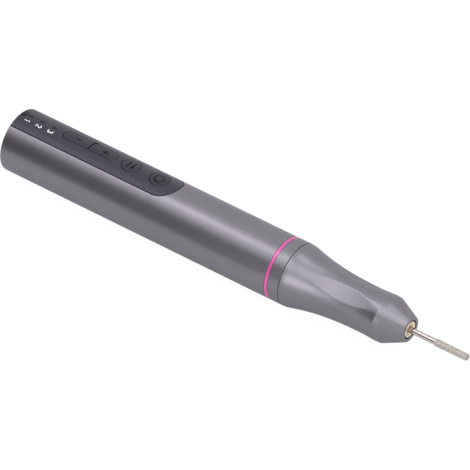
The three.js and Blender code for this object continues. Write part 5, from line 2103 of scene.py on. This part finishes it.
def spring_tree():
    tree, sockets, source = new_tree(
        "wound_spring",
        Geometry=["Base"],
        Float=["Turns", "Coil Radius", "Wire Radius", "Length"],
        Int=["Steps In A Turn"],
        Vector=["Place"],
        Material=["Finish"],
    )
    coil = add_node(
        tree,
        "GeometryNodeCurveSpiral",
        {
            "Resolution": source["Steps In A Turn"],
            "Rotations": source["Turns"],
            "Start Radius": source["Coil Radius"],
            "End Radius": source["Coil Radius"],
            "Height": source["Length"],
        },
    )
    settings = {"Resolution": WIRE_SIDES, "Radius": source["Wire Radius"]}
    section = add_node(tree, "GeometryNodeCurvePrimitiveCircle", settings)
    wire = add_node(
        tree,
        "GeometryNodeCurveToMesh",
        {"Curve": coil.outputs[0], "Profile Curve": section.outputs[0], "Fill Caps": True},
    )
    placed = lay_along_pen(tree, wire.outputs[0], source["Place"])
    end_tree(tree, placed, source["Finish"], smooth=True)
    return tree, sockets


spring_start, spring_end = span("collet_spring")
coil_length = spring_end - spring_start - 2 * WIRE_RADIUS
spring = face_outwards(
    through_nodes(
        "spring_coil",
        bpy.data.meshes.new("spring_base"),
        *spring_tree(),
        {
            "Turns": float(COIL_TURNS),
            "Steps In A Turn": COIL_STEPS,
            "Coil Radius": COIL_RADIUS * MM,
            "Wire Radius": WIRE_RADIUS * MM,
            "Length": coil_length * MM,
            "Place": (along_pen(spring_start + WIRE_RADIUS), 0, axis_height),
            "Finish": finishes["steel"],
        },
    )
)
coil = keep_piece("spring_coil", spring, "spindle", ["collet_spring"])
along_pen(spring_end)
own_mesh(coil)

# %% [markdown]
# The balls are one small sphere, repeated. Their cage is a thin ring, turned on the same lathe as the rest,
# and the balls stand out of it on both sides.

# %% Set the balls in their cages
BALL_RADIUS = 0.46
BALL_RING = 4.45
BALLS = 8
BALL_SIDES = 20
BALL_ROWS = 12
CAGE_WIDTH = 1.6
CAGE_THICKNESS = 0.36
CAGE_EDGE = 0.05


def ball_tree():
    tree, sockets, source = new_tree(
        "ring_of_balls",
        Geometry=["Base"],
        Int=["Count"],
        Float=["Ball Radius", "Ring Radius"],
        Vector=["Place"],
        Material=["Finish"],
    )
    ring = add_node(
        tree, "GeometryNodeMeshCircle", {"Vertices": source["Count"], "Radius": source["Ring Radius"]}
    )
    ball = add_node(
        tree,
        "GeometryNodeMeshUVSphere",
        {"Segments": BALL_SIDES, "Rings": BALL_ROWS, "Radius": source["Ball Radius"]},
    )
    put = add_node(
        tree, "GeometryNodeInstanceOnPoints", {"Points": ring.outputs[0], "Instance": ball.outputs["Mesh"]}
    )
    placed = lay_along_pen(tree, put.outputs[0], source["Place"])
    end_tree(tree, placed, source["Finish"], smooth=True)
    return tree, sockets


balls_rule = ball_tree()
for end in ("rear", "front"):
    node = end + "_bearing_balls"
    cage_middle = middle(node)
    balls = through_nodes(
        end + "_balls",
        bpy.data.meshes.new(end + "_balls_base"),
        *balls_rule,
        {
            "Count": BALLS,
            "Ball Radius": BALL_RADIUS * MM,
            "Ring Radius": BALL_RING * MM,
            "Place": (along_pen(cage_middle), 0, axis_height),
            "Finish": finishes["polished_steel"],
        },
    )
    keep_piece(end + "_balls", face_outwards(balls), end + "_ball_cage", [node])
    cage_span = (cage_middle - CAGE_WIDTH / 2, cage_middle + CAGE_WIDTH / 2)
    cage_radii = (BALL_RING - CAGE_THICKNESS / 2, BALL_RING + CAGE_THICKNESS / 2)
    cage_points = tube_profile(*cage_span, *cage_radii, CAGE_EDGE)
    cage = turned(end + "_cage", cage_points, "brass", steps_round=64)
    keep_piece(end + "_cage", cage, end + "_ball_cage", [node])

# %% [markdown]
# ## Parts inside
# The other works inside keep their CAD meshes, because they only show when the pen is taken apart. Each
# gets the finish of what it is made of.

# %% Finish the parts inside
inner_finishes = {
    "board": ["circuit_board"],
    "steel": [
        "board_screw_1", "board_screw_2", "motor_screw_1", "motor_screw_2", "motor_shaft", "spindle",
        "cross_pin", "nose_retaining_clip", "drawbar", "release_sleeve",
    ],
    "polished_steel": [
        "rear_bearing_outer", "rear_bearing_inner", "front_bearing_outer", "front_bearing_inner",
    ],
    "chip": ["control_chip"],
    "led": ["level_led_bar"],
    "brass": ["coupling_motor_half", "coupling_spindle_half"],
    "dark_plastic": [
        "inner_chassis", "motor_end_cap", "power_switch", "direction_switch", "speed_down_switch",
        "speed_up_switch",
    ],
    "cell_wrap": ["battery_cell"],
    "nickel": ["battery_tab_positive", "battery_tab_negative"],
    "can_steel": ["motor_can"],
    "magnet": ["motor_magnet_left", "motor_magnet_right"],
    "carbon": ["motor_brush_left", "motor_brush_right"],
    "rotor_copper": ["rotor_core", "commutator"],
    "red_wire": ["motor_lead_positive"],
    "black_wire": ["motor_lead_negative"],
    "bare_aluminium": ["spindle_housing", "bearing_retainer"],
    "rubber": ["nose_o_ring"],
}
for finish, nodes in inner_finishes.items():
    for node in nodes:
        mesh = bpy.data.objects[node].data
        mesh.materials.clear()
        mesh.materials.append(finishes[finish])
print("CAD nodes with a finish:", sum(len(nodes) for nodes in inner_finishes.values()))
